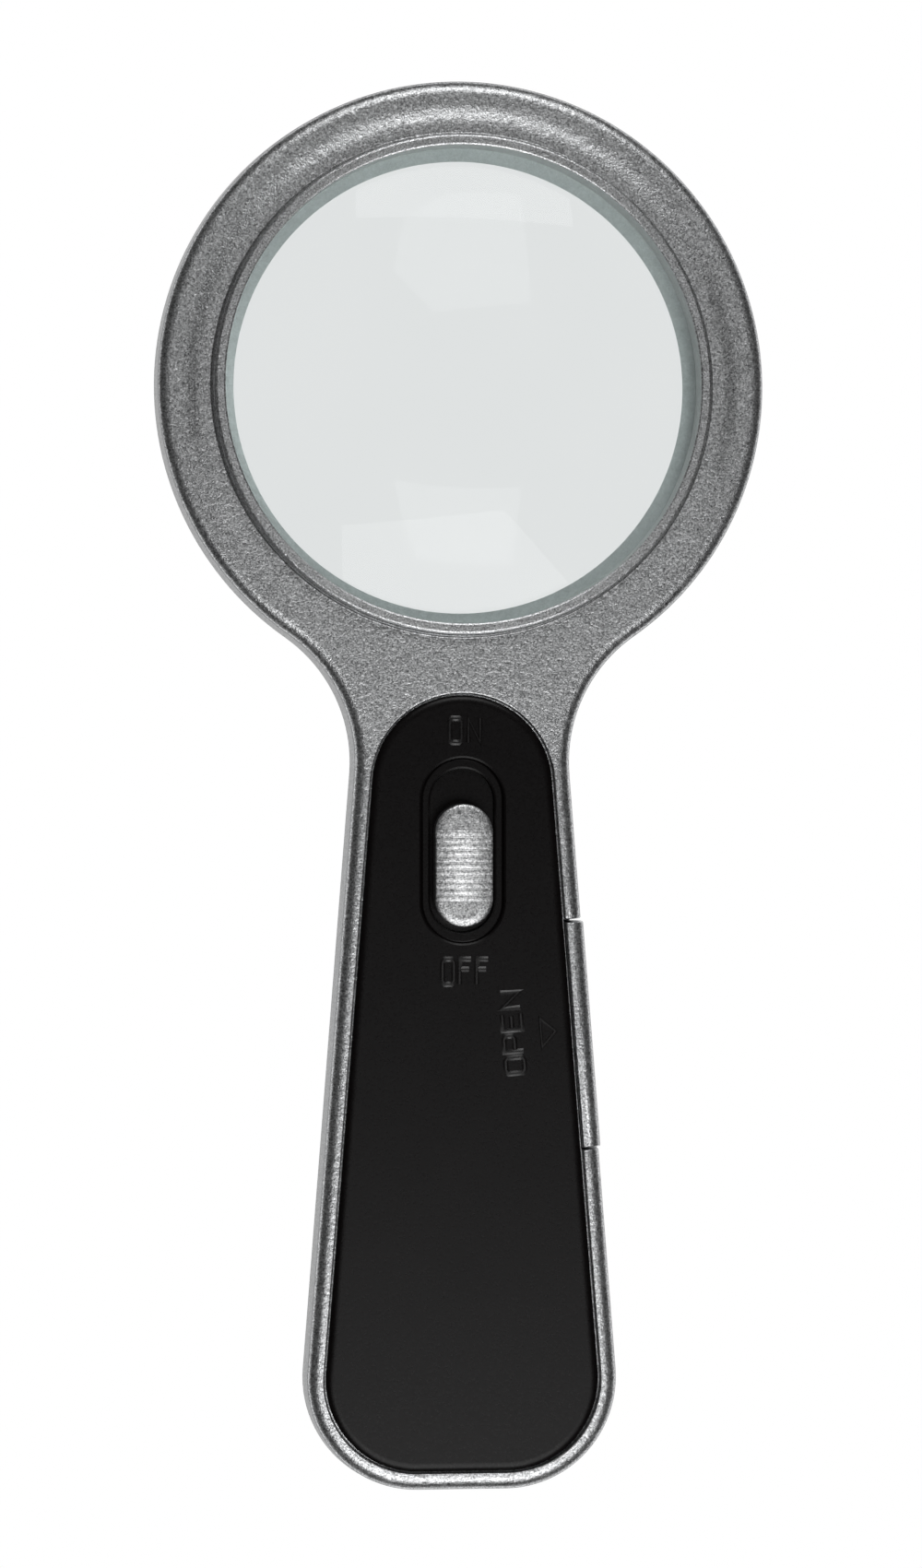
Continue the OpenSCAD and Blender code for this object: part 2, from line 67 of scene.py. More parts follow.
HEAD_R = high("front_shell").x
TAIL_LEN = high("front_shell").y - low("front_shell").y - HEAD_R
HEAD_Y = high("front_shell").y - HEAD_R
SPLIT_Z = low("front_shell").z
COLLAR_Z = high("front_shell").z
INLAY_Z = high("handle_inlay").z
ROOF_Z = low("handle_inlay").z
LENS_R = high("lens").x

# Outline: head, hollow necks, tapered sides and lower corners
NECK_R = 23.85
SIDE_OFFSET = 12.55
TAPER = 4.48
CORNER_R = 17.7
RIM_W = 3.0
INLAY_TOP_Y = -62.9

# Heights and edges of the two shells
FRONT_Z = 13.4
RECESS_Z = 11.8
FLOOR_Z = 1.6
WALL = 1.6
FRONT_ROLL = 1.5
ROLL_Z = FRONT_Z - FRONT_ROLL
ROLL_W = 2.0
BACK_ROLL = 1.8
DRAFT = 0.3
REAR_DRAFT = 0.7
SEAM = 0.16
EDGE = 0.25
SURFACE_D = 2.35
GROOVE_ROLL = 0.3

# Dish between the rolled edge and the collar
DISH_DEPTH = 0.3
DISH_LOW = 0.66
DISH_FLAT = 0.2
CREST_D = 1.8
FADE_LOW = -36.0
FADE_HIGH = 0.0

# Ring round the lens
COLLAR_BASE_R = 39.75
RING_R = 40.2
FRONT_OPENING_R = 37.5
REAR_OPENING_R = 35.35
REAR_WELL_R = 38.0
REAR_WELL_Z = 5.0
LENS_CURVE = 165.0
LENS_EDGE = 3.0
LENS_GAP = 0.1
LENS_Z = 7.3

# Drawer, in axes along the handle's right side
DRAWER_Y = -103.25
DRAWER_LEN = 35.6
GAP_UP = 0.5
GAP_DOWN = 0.3
PROUD = 0.35
SILL_Z = 1.8
DRAWER_Z = 2.0
FLANGE_Z = 10.45
SLAB_D = 3.05

# Screws
HEAD_SCREW_R = 43.5
HEAD_SCREW_ANGLES = (50, 130, 205, 335)
HANDLE_SCREWS = ((12.3, -70), (-12.3, -70), (11, -150), (-11, -150))
SCREW_HEAD_R = 2.0
SCREW_HEAD_Z = 1.0
SCREW_HEAD_H = 1.3
WELL_R = 2.25
BOSS_R = 2.6
SHANK_HOLE_R = 1.05

# Switch
WELL_Y = -73.1
WELL_OUTER = (13.05, 29.1)
WELL_INNER = (9.96, 25.6)
WELL_STEP_Z = 12.6
WELL_FLOOR_Z = 11.6
WELL_BOSS = (14.8, 30.8)
BUTTON_Y = -75.4
BUTTON = (9.1, 19.35)
BUTTON_FACE_Z = 15.2
RIBS = 11
RIB_PITCH = 1.02
RIB_H = 0.4
STEM = (4.8, 6.4)
SWITCH_Y = -72.75
TRAVEL = 5.3

# Lamps
LED_Y = -45.2
LED_PITCH = 5.5
LED_HOLE_R = 1.65
LED_RECESS = (5.2, 17.0)
LED_RECESS_Z = 0.5


def sin(degrees):
    return math.sin(math.radians(degrees))


def cos(degrees):
    return math.cos(math.radians(degrees))


def steps(start, end, step):
    """Evenly spaced numbers from start to end, both included, no further apart than step."""
    n = max(1, math.ceil(abs(end - start) / step - 1e-6))
    return [start + (end - start) * i / n for i in range(n + 1)]


SIDE_N = (cos(TAPER), sin(TAPER))
SIDE_UP = (-sin(TAPER), cos(TAPER))


def on_side(x, t):
    """Point of the drawer's axes: x along the side's normal, t up the side."""
    return (x * SIDE_N[0] + t * SIDE_UP[0], x * SIDE_N[1] + t * SIDE_UP[1])


def from_side_axes(x, y):
    """The other way round: a place's x along the side's normal and its t up the side."""
    return (x * SIDE_N[0] + y * SIDE_N[1], x * SIDE_UP[0] + y * SIDE_UP[1])


NECK_DOWN = math.sqrt((HEAD_R + NECK_R) ** 2 - (SIDE_OFFSET + NECK_R) ** 2)
NECK_C = on_side(SIDE_OFFSET + NECK_R, -NECK_DOWN)
NECK_ANGLE = math.degrees(math.atan2(-NECK_C[1], -NECK_C[0]))
CORNER_C = (
    (SIDE_OFFSET - CORNER_R + (TAIL_LEN - CORNER_R) * sin(TAPER)) / cos(TAPER),
    CORNER_R - TAIL_LEN,
)
SIDE_END = from_side_axes(*CORNER_C)[1]
RIM_START = INLAY_TOP_Y * cos(TAPER)
GAP_TOP = DRAWER_Y + DRAWER_LEN / 2 + GAP_UP
GAP_END = DRAWER_Y - DRAWER_LEN / 2 - GAP_DOWN

# ---------------------------------------------------------------- shapes

MERGE = 0.002
CDT_TOLERANCE = 1e-5
SLIVER = 1e-3
LEVEL = 0.999999
CREASE = 38
BEVEL_SEGMENTS = 3
NEAR = 1e-3
ROUND_STEP = 7.5


class Shape:
    """Points in millimetres, given from the head's middle, and the faces between them."""

    def __init__(self):
        self.points = []
        self.faces = []

    def row(self, points):
        start = len(self.points)
        self.points.extend((x, y + HEAD_Y, z) for x, y, z in points)
        return range(start, len(self.points))

    def skin(self, rows, closed=False):
        """Quads between neighbouring rows; closed also joins each row's last point to its first."""
        made = [self.row(r) for r in rows]
        for a, b in zip(made, made[1:]):
            n = len(a)
            for i in range(n if closed else n - 1):
                j = (i + 1) % n
                self.faces.append((a[i], a[j], b[j], b[i]))

    def face(self, points):
        self.faces.append(tuple(self.row(points)))

    def fill(self, loops, height, inner=()):
        """Triangles inside the first loop and outside the others; height gives z from x and y."""
        flat = [Vector(p[:2]) for loop in loops for p in loop]
        edges = []
        start = 0
        for loop in loops:
            n = len(loop)
            edges += [(start + i, start + (i + 1) % n) for i in range(n)]
            start += n
        flat += [Vector(p[:2]) for p in inner]
        places, _, faces, sources, _, _ = delaunay_2d_cdt(flat, edges, [], 0, CDT_TOLERANCE)
        base = self.row([(p.x, p.y, height(p.x, p.y)) for p in places])[0]
        now_at = {k: i for i, same in enumerate(sources) for k in same}
        walls = {frozenset((now_at[a], now_at[b])) for a, b in edges}
        for patch in patches(places, faces, walls):
            middle = sum((places[i] for i in patch[0]), Vector((0, 0))) / 3
            if inside(middle, loops[0]) and not any(inside(middle, loop) for loop in loops[1:]):
                self.faces += [tuple(base + i for i in f) for f in patch]


def patches(places, faces, walls):
    """Groups of triangles that no wall parts, each with its largest triangle first.

    A group of nothing but slivers lies between points of a straight wall, so it is left out.
    """
    owners = {}
    for f in faces:
        for side in zip(f, f[1:] + f[:1]):
            owners.setdefault(frozenset(side), []).append(tuple(f))
    done = set()
    out = []
    areas = {tuple(f): area_tri(*[places[i] for i in f]) for f in faces}
    for first in sorted(areas, key=areas.get, reverse=True):
        patch = []
        ahead = [first]
        while ahead:
            f = ahead.pop()
            if f not in done:
                done.add(f)
                patch.append(f)
                sides = [frozenset(side) for side in zip(f, f[1:] + f[:1])]
                ahead += [g for side in sides if side not in walls for g in owners[side]]
        if patch and areas[first] > SLIVER:
            out.append(patch)
    return out


def inside(place, loop):
    """Whether a plan place lies inside a closed outline, by counting the crossings of a ray."""
    x, y = place
    odd = False
    for a, b in zip(loop, loop[1:] + loop[:1]):
        if (a[1] > y) != (b[1] > y) and x < (b[0] - a[0]) * (y - a[1]) / (b[1] - a[1]) + a[0]:
            odd = not odd
    return odd


def from_head(point):
    """A mesh's point in millimetres from the middle of the head."""
    return point / MM - Vector((0, HEAD_Y, 0))


def build(name, shape, body, slot, stands_for=(), rounded=None, finishes_and_painted_light=None):
    """Makes a Shape one closed mesh that rides on a body and stands for CAD nodes.

    rounded tells, from an edge's two points, whether that edge is rounded off. The last argument names
    the other materials, each with a test that tells, from a face's middle, whether the face has it.
    Two of them are a lighter and a darker copy of the silver paint: painted light and painted shade.
    """
    finishes_and_painted_light = finishes_and_painted_light or {}
    mesh = bpy.data.meshes.new(name)
    mesh.from_pydata([[c * MM for c in p] for p in shape.points], [], shape.faces)
    bm = bmesh.new()
    bm.from_mesh(mesh)
    bmesh.ops.remove_doubles(bm, verts=bm.verts, dist=MERGE * MM)
    bmesh.ops.recalc_face_normals(bm, faces=bm.faces)
    if rounded:
        chosen = [e for e in bm.edges if rounded(*[from_head(v.co) for v in e.verts])]
        bmesh.ops.bevel(
            bm, geom=chosen, offset=EDGE * MM, segments=BEVEL_SEGMENTS, profile=0.5, affect="EDGES"
        )
    for f in bm.faces:
        f.smooth = abs(f.normal.z) < LEVEL
        middle = from_head(f.calc_center_median())
        f.material_index = next((i for i, test in enumerate(finishes_and_painted_light.values(), 1) if test(middle)), 0)
    for e in bm.edges:
        e.smooth = len(e.link_faces) == 2 and e.calc_face_angle() < math.radians(CREASE)
    bm.to_mesh(mesh)
    bm.free()
    piece = bpy.data.objects.new(name, mesh)
    bpy.context.scene.collection.objects.link(piece)
    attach(piece, body)
    if stands_for:
        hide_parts(*stands_for)
    for finish in (slot, *finishes_and_painted_light):
        mesh.materials.append(material_for(finish))
    return piece


def flat_at(z):
    return lambda x, y: z


def ring(centre, r, z, count=96):
    turns = [360 * i / count for i in range(count)]
    return [(centre[0] + r * cos(a), centre[1] + r * sin(a), z) for a in turns]


def revolve(shape, centre, profile, count=96):
    """Surface of revolution about an upright axis; profile is a list of (radius, z)."""
    shape.skin([ring(centre, r, z, count) for r, z in profile], closed=True)


def disc(shape, centre, r, z, count):
    shape.face(ring(centre, r, z, count))


def stadium(centre, size, z, inset=0.0, across=False):
    """Slot outline with round ends along y, or along x when across is set."""
    r = size[0] / 2 - inset
    half = (size[1] - size[0]) / 2
    points = []
    for end in (1, -1):
        for a in steps(0, 180, ROUND_STEP):
            x = r * cos(a) * end
            y = (half + r * sin(a)) * end
            points.append((centre[0] + (y if across else x), centre[1] + (-x if across else y), z))
    return points


def rect(centre, size, z):
    x, y = size[0] / 2, size[1] / 2
    return [(centre[0] + a * x, centre[1] + b * y, z) for a, b in ((1, 1), (-1, 1), (-1, -1), (1, -1))]


def block(shape, centre, size, z):
    """Closed box about a plan centre, between two heights."""
    foot, top = (rect(centre, size, height) for height in z)
    shape.skin([foot, top], closed=True)
    shape.face(foot)
    shape.face(top)


def post(shape, centre, r, z0, z1, count):
    disc(shape, centre, r, z0, count)
    revolve(shape, centre, [(r, z0), (r, z1)], count)
    disc(shape, centre, r, z1, count)


def roll(r, a0, a1, count, height=None):
    """Points of a round of half-width r about its own centre; height makes it flatter or taller."""
    return [(r * cos(a), (height or r) * sin(a)) for a in steps(a0, a1, abs(a1 - a0) / count)]


def mirrored(points):
    return [(-x, z) for x, z in points]


def around(corner, offsets):
    """Points of a profile, given by their offsets from one of its corners."""
    return [(corner[0] + x, corner[1] + z) for x, z in offsets]


# ---------------------------------------------------------------- outline of the housing

HEAD_STEP = 2
NECK_STEP = 3
SIDE_STEP = 2.5
CORNER_STEP = 4
END_STEP = 2


def bend(centre, r, angles, way):
    """Stations on a round stretch; way is -1 where the inside faces the centre, and 1 on a hollow."""
    return [
        (centre[0] + r * cos(a), centre[1] + r * sin(a), way * cos(a), way * sin(a), None) for a in angles
    ]


def half_outline():
    """Stations down the right side, from the top: point, inward direction, and t on the side."""
    out = bend((0, 0), HEAD_R, steps(90, NECK_ANGLE - 180, HEAD_STEP), -1)
    out += bend(NECK_C, NECK_R, steps(NECK_ANGLE, 180 + TAPER, NECK_STEP)[1:], 1)
    ends = [-NECK_DOWN, RIM_START, GAP_TOP, GAP_END, SIDE_END]
    for t0, t1 in zip(ends, ends[1:]):
        for t in steps(t0, t1, SIDE_STEP)[1:]:
            out.append((*on_side(SIDE_OFFSET, t), -SIDE_N[0], -SIDE_N[1], t))
    out += bend(CORNER_C, CORNER_R, steps(TAPER, -90, CORNER_STEP)[1:], -1)
    for x in steps(CORNER_C[0], 0, END_STEP)[1:]:
        out.append((x, -TAIL_LEN, 0, 1, None))
    return out


RIGHT = half_outline()
LEFT = [(-x, y, -nx, ny, None) for x, y, nx, ny, _ in RIGHT[-2:0:-1]]
OUTLINE = RIGHT + LEFT


def station_at(t):
    """Index of the right side's station at t."""
    return next(i for i, s in enumerate(RIGHT) if s[4] is not None and abs(s[4] - t) < 1e-6)


I_RIM = station_at(RIM_START)
I_GAP_TOP = station_at(GAP_TOP)
I_GAP_END = station_at(GAP_END)
I_RIM_LEFT = len(OUTLINE) - I_RIM
BEYOND_GAP = OUTLINE[I_GAP_END:] + OUTLINE[: I_GAP_TOP + 1]
IN_GAP = OUTLINE[I_GAP_TOP : I_GAP_END + 1]
RIM_PARTS = (OUTLINE[I_RIM : I_GAP_TOP + 1], OUTLINE[I_GAP_END : I_RIM_LEFT + 1])
CROWN = OUTLINE[I_RIM_LEFT:] + OUTLINE[: I_RIM + 1]


def inset_of(station, d):
    return (station[0] + d * station[2], station[1] + d * station[3])


def depth_at(x, y):
    """Distance inside the housing's outline, for places near it."""
    x = abs(x)
    if math.degrees(math.atan2(y, x)) > NECK_ANGLE - 180:
        return HEAD_R - math.hypot(x, y)
    across, t = from_side_axes(x, y)
    if t < SIDE_END and x < CORNER_C[0]:
        return y + TAIL_LEN
    if t < SIDE_END:
        return CORNER_R - math.hypot(x - CORNER_C[0], y - CORNER_C[1])
    if t < -NECK_DOWN:
        return SIDE_OFFSET - across
    return math.hypot(x - NECK_C[0], y - NECK_C[1]) - NECK_R


def face_z(x, y):
    """Height of the front face: level, with a lower outer band that fades out in the neck."""
    from_collar = math.hypot(x, y) - COLLAR_BASE_R
    if from_collar <= 0 or y < INLAY_TOP_Y:
        return FRONT_Z
    from_crest = max(depth_at(x, y) - CREST_D, 0)
    way = from_collar / (from_collar + from_crest)
    if way < DISH_FLAT:
        return FRONT_Z
    share = 1
    if way < DISH_LOW:
        share = (1 - math.cos(math.pi * (way - DISH_FLAT) / (DISH_LOW - DISH_FLAT))) / 2
    fade = min(1, max(0, (y - FADE_LOW) / (FADE_HIGH - FADE_LOW)))
    fade *= fade * (3 - 2 * fade)
    return FRONT_Z - DISH_DEPTH * share * fade


def sweep(shape, stations, profile):
    """Skin along stations; profile is (inset, z), or (inset, None) for a point of the front face.

    The top of the outer roll meets the front face wherever the face lies lower.
    """
    rows = []
    settled = [(face_z(*inset_of(s, SURFACE_D)) - ROLL_Z) / FRONT_ROLL for s in stations]
    for d, z in profile:
        places = [inset_of(s, d) for s in stations]
        if z is None:
            rows.append([(x, y, face_z(x, y)) for x, y in places])
        elif d < SURFACE_D and z > ROLL_Z:
            rows.append([(x, y, ROLL_Z + (z - ROLL_Z) * k) for (x, y), k in zip(places, settled)])
        else:
            rows.append([(x, y, z) for x, y in places])
    shape.skin(rows)


def at_t(points, t):
    """Whether points all lie at t on the side."""
    return all(abs(from_side_axes(p.x, p.y)[1] - t) < NEAR for p in points)


def gap_edge(profile, z_min):
    """Test for the edges round the drawer's opening in a wall, from their two points."""

    def test(*points):
        if not any(at_t(points, t) for t in (GAP_TOP, GAP_END)) or min(p.z for p in points) <= z_min:
            return False
        places = [(SIDE_OFFSET - from_side_axes(p.x, p.y)[0], p.z) for p in points]
        return all(min(math.hypot(d - q[0], z - q[1]) for q in profile) < NEAR for d, z in places)

    return test


# ---------------------------------------------------------------- which faces have which finish, and where light and shade are painted

SIDE_DEPTH = 1.2
SIDE_TOP_Z = ROLL_Z + 0.5
SEAT_MARGIN = 0.1
OPENING_MARGIN = 0.01
OPENING_TOP_Z = COLLAR_Z - 0.2


# Faces that get the painted shade: the outer side walls below the roll.
def on_outer_side(middle):
    return depth_at(middle.x, middle.y) < SIDE_DEPTH and middle.z < SIDE_TOP_Z


# Faces that get the painted light: the lens seat round the rear opening.
def on_seat(middle):
    return REAR_OPENING_R < math.hypot(middle.x, middle.y) < RING_R and middle.z > LEDGE_Z - SEAT_MARGIN


# Faces that get the painted light: the inner wall of the front opening.
def in_opening(middle):
    return math.hypot(middle.x, middle.y) < FRONT_OPENING_R + OPENING_MARGIN and middle.z < OPENING_TOP_Z


def everywhere(middle):
    return True


# ---------------------------------------------------------------- front shell

FRONT_SIDE = (
    [(SEAM, SPLIT_Z), (0.01, SPLIT_Z + SEAM), (DRAFT / 2, (SPLIT_Z + ROLL_Z) / 2)]
    + around((DRAFT + ROLL_W, ROLL_Z), mirrored(roll(ROLL_W, 0, 90, 12, FRONT_ROLL)))
    + [(SURFACE_D, None)]
)
RIM_EDGE = (
    [(SURFACE_D, None), ((SURFACE_D + RIM_W - GROOVE_ROLL) / 2, None)]
    + around((RIM_W - GROOVE_ROLL, FRONT_Z - GROOVE_ROLL), roll(GROOVE_ROLL, 90, 0, 6))
    + [(RIM_W, RECESS_Z)]
)
INLAY_TOP_R = SIDE_OFFSET - RIM_W - INLAY_TOP_Y * sin(TAPER)
INLAY_TOP = bend((0, INLAY_TOP_Y), INLAY_TOP_R, steps(180 - TAPER, TAPER, CORNER_STEP), -1)
WELL_CLEARANCE = 0.4
HEAD_SEGMENTS = 180
SCREW_SEGMENTS = 32


def sag(r):
    """How far a face of the lens drops from its middle to radius r."""
    return LENS_CURVE - math.sqrt(LENS_CURVE**2 - r * r)


LENS_SAG = sag(LENS_R)
LIP_Z = LENS_Z + LENS_EDGE + LENS_SAG - sag(FRONT_OPENING_R) + LENS_GAP / 2
LEDGE_Z = LENS_Z - LENS_SAG + sag(REAR_OPENING_R) - LENS_GAP / 2
SCREW_PLACES = [(HEAD_SCREW_R * cos(a), HEAD_SCREW_R * sin(a)) for a in HEAD_SCREW_ANGLES]
ALL_SCREWS = SCREW_PLACES + list(HANDLE_SCREWS)
SCREW_FOOT_Z = SCREW_HEAD_Z + SCREW_HEAD_H
LAMP_PLACES = [(i * LED_PITCH, LED_Y) for i in (-1, 0, 1)]
PILOT_Z = 10.3
ABOVE_SPLIT = 0.1

# Collar from its foot inwards: two short walls with a small ledge between them, and a flat top.
# Every corner is rounded off by points at these offsets from it.
COLLAR_TOP_R = 39.08
LEDGE_R = 39.4
LEDGE_TOP_Z = (FRONT_Z + COLLAR_Z) / 2
FOOT_ROUND = ((0, 0), (-0.12, 0.03), (-0.2, 0.1), (-0.23, 0.25))
LEDGE_ROUND = ((0.05, -0.14), (0.02, -0.06), (-0.13, 0), (-0.17, 0.05))
CREST_ROUND = ((0, -0.2), (-0.05, -0.08), (-0.22, -0.02), (-0.3, 0))
MOUTH_ROUND = ((0.26, 0), (0.18, -0.018), (0.04, -0.07), (0, -0.18))
COLLAR = (
    around((COLLAR_BASE_R, FRONT_Z), FOOT_ROUND)
    + around((LEDGE_R, LEDGE_TOP_Z), LEDGE_ROUND)
    + around((COLLAR_TOP_R, COLLAR_Z), CREST_ROUND)
    + around((FRONT_OPENING_R, COLLAR_Z), MOUTH_ROUND)
)

# Points inside the front face: rings round the collar, a grid in the neck, and how far both stay
# off its edges
RING_STEP = 0.62
RING_MARGIN = (0.6, 0.5)
GRID_STEP = 1.1
GRID_HALF_X = 34
GRID_TOP = 4 - HEAD_R
GRID_R = HEAD_R - 1.6
GRID_MARGIN = 0.5
INLAY_MARGIN = 0.9
EDGE_MARGIN = 0.3


def crown_points():
    out = []
    for r in steps(COLLAR_BASE_R + RING_MARGIN[0], HEAD_R - SURFACE_D - RING_MARGIN[1], RING_STEP):
        out += [p[:2] for p in ring((0, 0), r, 0, HEAD_SEGMENTS)]
    for y in steps(GRID_TOP, INLAY_TOP_Y + 1, GRID_STEP):
        for x in steps(-GRID_HALF_X, GRID_HALF_X, GRID_STEP):
            off_rings = math.hypot(x, y) > GRID_R
            off_edge = depth_at(x, y) > SURFACE_D + GRID_MARGIN
            off_inlay = math.hypot(x, y - INLAY_TOP_Y) - INLAY_TOP_R > INLAY_MARGIN
            if off_rings and off_edge and off_inlay:
                out.append((x, y))
    return [p for p in out if depth_at(*p) > SURFACE_D + EDGE_MARGIN]


def front_shell():
    s = Shape()
    sweep(s, BEYOND_GAP, FRONT_SIDE)
    for part in RIM_PARTS:
        sweep(s, part, RIM_EDGE)
    sweep(s, INLAY_TOP, [(d - RIM_W, z) for d, z in RIM_EDGE[2:]])
    edge_d = RIM_EDGE[2][0]
    mid_d = RIM_EDGE[1][0]
    crown = [inset_of(p, SURFACE_D) for p in CROWN] + [inset_of(CROWN[-1], mid_d)]
    crown += [inset_of(p, edge_d - RIM_W) for p in INLAY_TOP[::-1]] + [inset_of(CROWN[0], mid_d)]
    s.fill([crown, ring((0, 0), COLLAR_BASE_R, 0, HEAD_SEGMENTS)], face_z, crown_points())

    top, end = OUTLINE[I_GAP_TOP], OUTLINE[I_GAP_END]
    recess = [inset_of(p, RIM_W) for p in RIM_PARTS[0]] + [inset_of(top, SLAB_D), inset_of(end, SLAB_D)]
    recess += [inset_of(p, RIM_W) for p in RIM_PARTS[1]] + [inset_of(p, 0) for p in INLAY_TOP[1:-1]]
    well = stadium((0, WELL_Y), WELL_BOSS, RECESS_Z, -WELL_CLEARANCE)
    s.fill([recess, well], flat_at(RECESS_Z))
    s.skin([well, [(x, y, ROOF_Z) for x, y, _ in well]], closed=True)

    inner = [inset_of(p, WALL) for p in BEYOND_GAP] + [inset_of(top, SLAB_D), inset_of(end, SLAB_D)]
    bosses = [ring(p, BOSS_R, ROOF_Z, SCREW_SEGMENTS) for p in ALL_SCREWS]
    s.fill([inner, ring((0, 0), RING_R, 0, HEAD_SEGMENTS), well] + bosses, flat_at(ROOF_Z))
    sweep(s, BEYOND_GAP, [(WALL, ROOF_Z), (WALL, SPLIT_Z), (SEAM, SPLIT_Z)])
    sweep(s, [top, end], [(SLAB_D, RECESS_Z), (SLAB_D, ROOF_Z)])
    section = FRONT_SIDE[:-1] + [(d, FRONT_Z if z is None else z) for d, z in RIM_EDGE]
    for station in (top, end):
        cap = section + [(SLAB_D, RECESS_Z), (SLAB_D, ROOF_Z), (WALL, ROOF_Z), (WALL, SPLIT_Z)]
        s.face([(*inset_of(station, d), z) for d, z in cap])

    revolve(s, (0, 0), COLLAR + [
        (FRONT_OPENING_R, LIP_Z), (LENS_R + LENS_GAP, LIP_Z), (LENS_R + LENS_GAP, SPLIT_Z),
        (RING_R, SPLIT_Z), (RING_R, ROOF_Z),
    ], HEAD_SEGMENTS)
    for p in ALL_SCREWS:
        revolve(s, p, [
            (BOSS_R, ROOF_Z), (BOSS_R, SPLIT_Z), (SHANK_HOLE_R, SPLIT_Z), (SHANK_HOLE_R, PILOT_Z),
        ], SCREW_SEGMENTS)
        disc(s, p, SHANK_HOLE_R, PILOT_Z, SCREW_SEGMENTS)
    # The opening's inner wall gets painted light and the outer side walls painted shade, by a lighter and
    # a darker copy of the silver paint.
    build(
        "housing_front", s, "housing", "housing_silver", ["front_shell"],
        rounded=gap_edge(section, SPLIT_Z + ABOVE_SPLIT),
        finishes_and_painted_light={"seat_painted_light_silver": in_opening, "side_painted_shade_silver": on_outer_side},
    )


# ---------------------------------------------------------------- rear shell

REAR_SIDE = [(SEAM, SPLIT_Z), (0.02, SPLIT_Z - SEAM), (REAR_DRAFT, BACK_ROLL)]
BACK_ROLL_W = 1.3
BACK_EDGE_D = REAR_DRAFT + BACK_ROLL_W + 0.15
REAR_ROLL = around(
    (REAR_DRAFT + BACK_ROLL_W, BACK_ROLL), [(-x, -z) for x, z in roll(BACK_ROLL_W, 0, 90, 9, BACK_ROLL)]
)
REAR_ROLL += [(BACK_EDGE_D, 0)]
BOSS_FOOT_R = 3.0
LENS_WELL_ROUND = ((0.3, 0), (0.12, 0.05), (0, 0.18))
SCREW_WELL_ROUND = ((0.15, 0), (0.04, 0.04), (0, 0.15))
LAMP_WELL_EDGE = 0.12
LAMP_HOLE_EDGE = 0.1
SMALL_SEGMENTS = 24


def rear_shell():
    s = Shape()
    ring_all = OUTLINE + OUTLINE[:1]
    sweep(s, BEYOND_GAP, REAR_SIDE)
    sweep(s, ring_all, REAR_ROLL)
    sweep(s, IN_GAP, [(REAR_DRAFT, SILL_Z), (WALL, SILL_Z)])
    sweep(s, ring_all, [(WALL, SILL_Z), (WALL, FLOOR_Z)])
    sweep(s, BEYOND_GAP, [(WALL, SILL_Z), (WALL, SPLIT_Z), (SEAM, SPLIT_Z)])
    for station in (OUTLINE[I_GAP_TOP], OUTLINE[I_GAP_END]):
        cap = REAR_SIDE + [(WALL, SILL_Z), (WALL, SPLIT_Z)]
        s.face([(*inset_of(station, d), z) for d, z in cap])

    lens_well = around((REAR_WELL_R, 0), LENS_WELL_ROUND) + [
        (REAR_OPENING_R, REAR_WELL_Z), (REAR_OPENING_R, LEDGE_Z), (LENS_R + LENS_GAP, LEDGE_Z),
        (LENS_R + LENS_GAP, SPLIT_Z), (RING_R, SPLIT_Z), (RING_R, FLOOR_Z),
    ]
    screw_well = around((WELL_R, 0), SCREW_WELL_ROUND) + [
        (WELL_R, SCREW_FOOT_Z), (SHANK_HOLE_R, SCREW_FOOT_Z), (SHANK_HOLE_R, SPLIT_Z),
        (BOSS_FOOT_R, SPLIT_Z), (BOSS_FOOT_R, FLOOR_Z),
    ]
    lamp_hole = [
        (LED_HOLE_R + LAMP_HOLE_EDGE, LED_RECESS_Z), (LED_HOLE_R, LED_RECESS_Z + LAMP_HOLE_EDGE),
        (LED_HOLE_R, FLOOR_Z),
    ]
    mouth = stadium((0, LED_Y), LED_RECESS, 0, -LAMP_WELL_EDGE, across=True)
    rim = stadium((0, LED_Y), LED_RECESS, LAMP_WELL_EDGE, 0, across=True)
    deep = stadium((0, LED_Y), LED_RECESS, LED_RECESS_Z, 0, across=True)
    back = [[inset_of(p, BACK_EDGE_D) for p in OUTLINE], ring((0, 0), lens_well[0][0], 0, HEAD_SEGMENTS)]
    wells = [ring(p, screw_well[0][0], 0, SCREW_SEGMENTS) for p in ALL_SCREWS]
    s.fill(back + [mouth] + wells, flat_at(0))
    revolve(s, (0, 0), lens_well, HEAD_SEGMENTS)
    for p in ALL_SCREWS:
        revolve(s, p, screw_well, SCREW_SEGMENTS)

    s.skin([mouth, rim, deep], closed=True)
    edges = [ring(p, lamp_hole[0][0], 0, SMALL_SEGMENTS) for p in LAMP_PLACES]
    s.fill([deep] + edges, flat_at(LED_RECESS_Z))
    for p in LAMP_PLACES:
        revolve(s, p, lamp_hole, SMALL_SEGMENTS)
    floor = [[inset_of(p, WALL) for p in OUTLINE], ring((0, 0), RING_R, 0, HEAD_SEGMENTS)]
    holes = [ring(p, BOSS_FOOT_R, 0, SCREW_SEGMENTS) for p in ALL_SCREWS]
    holes += [ring(p, LED_HOLE_R, 0, SMALL_SEGMENTS) for p in LAMP_PLACES]
    s.fill(floor + holes, flat_at(FLOOR_Z))
    # The lens seat gets painted light and the outer side walls painted shade, by a lighter and a darker
    # copy of the silver paint.
    build(
        "housing_rear", s, "housing", "housing_silver", ["rear_shell"],
        finishes_and_painted_light={"seat_painted_light_silver": on_seat, "side_painted_shade_silver": on_outer_side},
    )


# ---------------------------------------------------------------- inlay with its switch well

INLAY_LINE = [(*inset_of(p, RIM_W), p[2], p[3]) for p in OUTLINE[I_RIM : I_RIM_LEFT + 1]] + INLAY_TOP[1:-1]
INLAY_GAP = 0.25
INLAY_ROLL = 0.45
INLAY_ROLL_W = 1.3
SLOT_GAP = 0.6
SLOT = (STEM[0] + SLOT_GAP, STEM[1] + TRAVEL + SLOT_GAP)
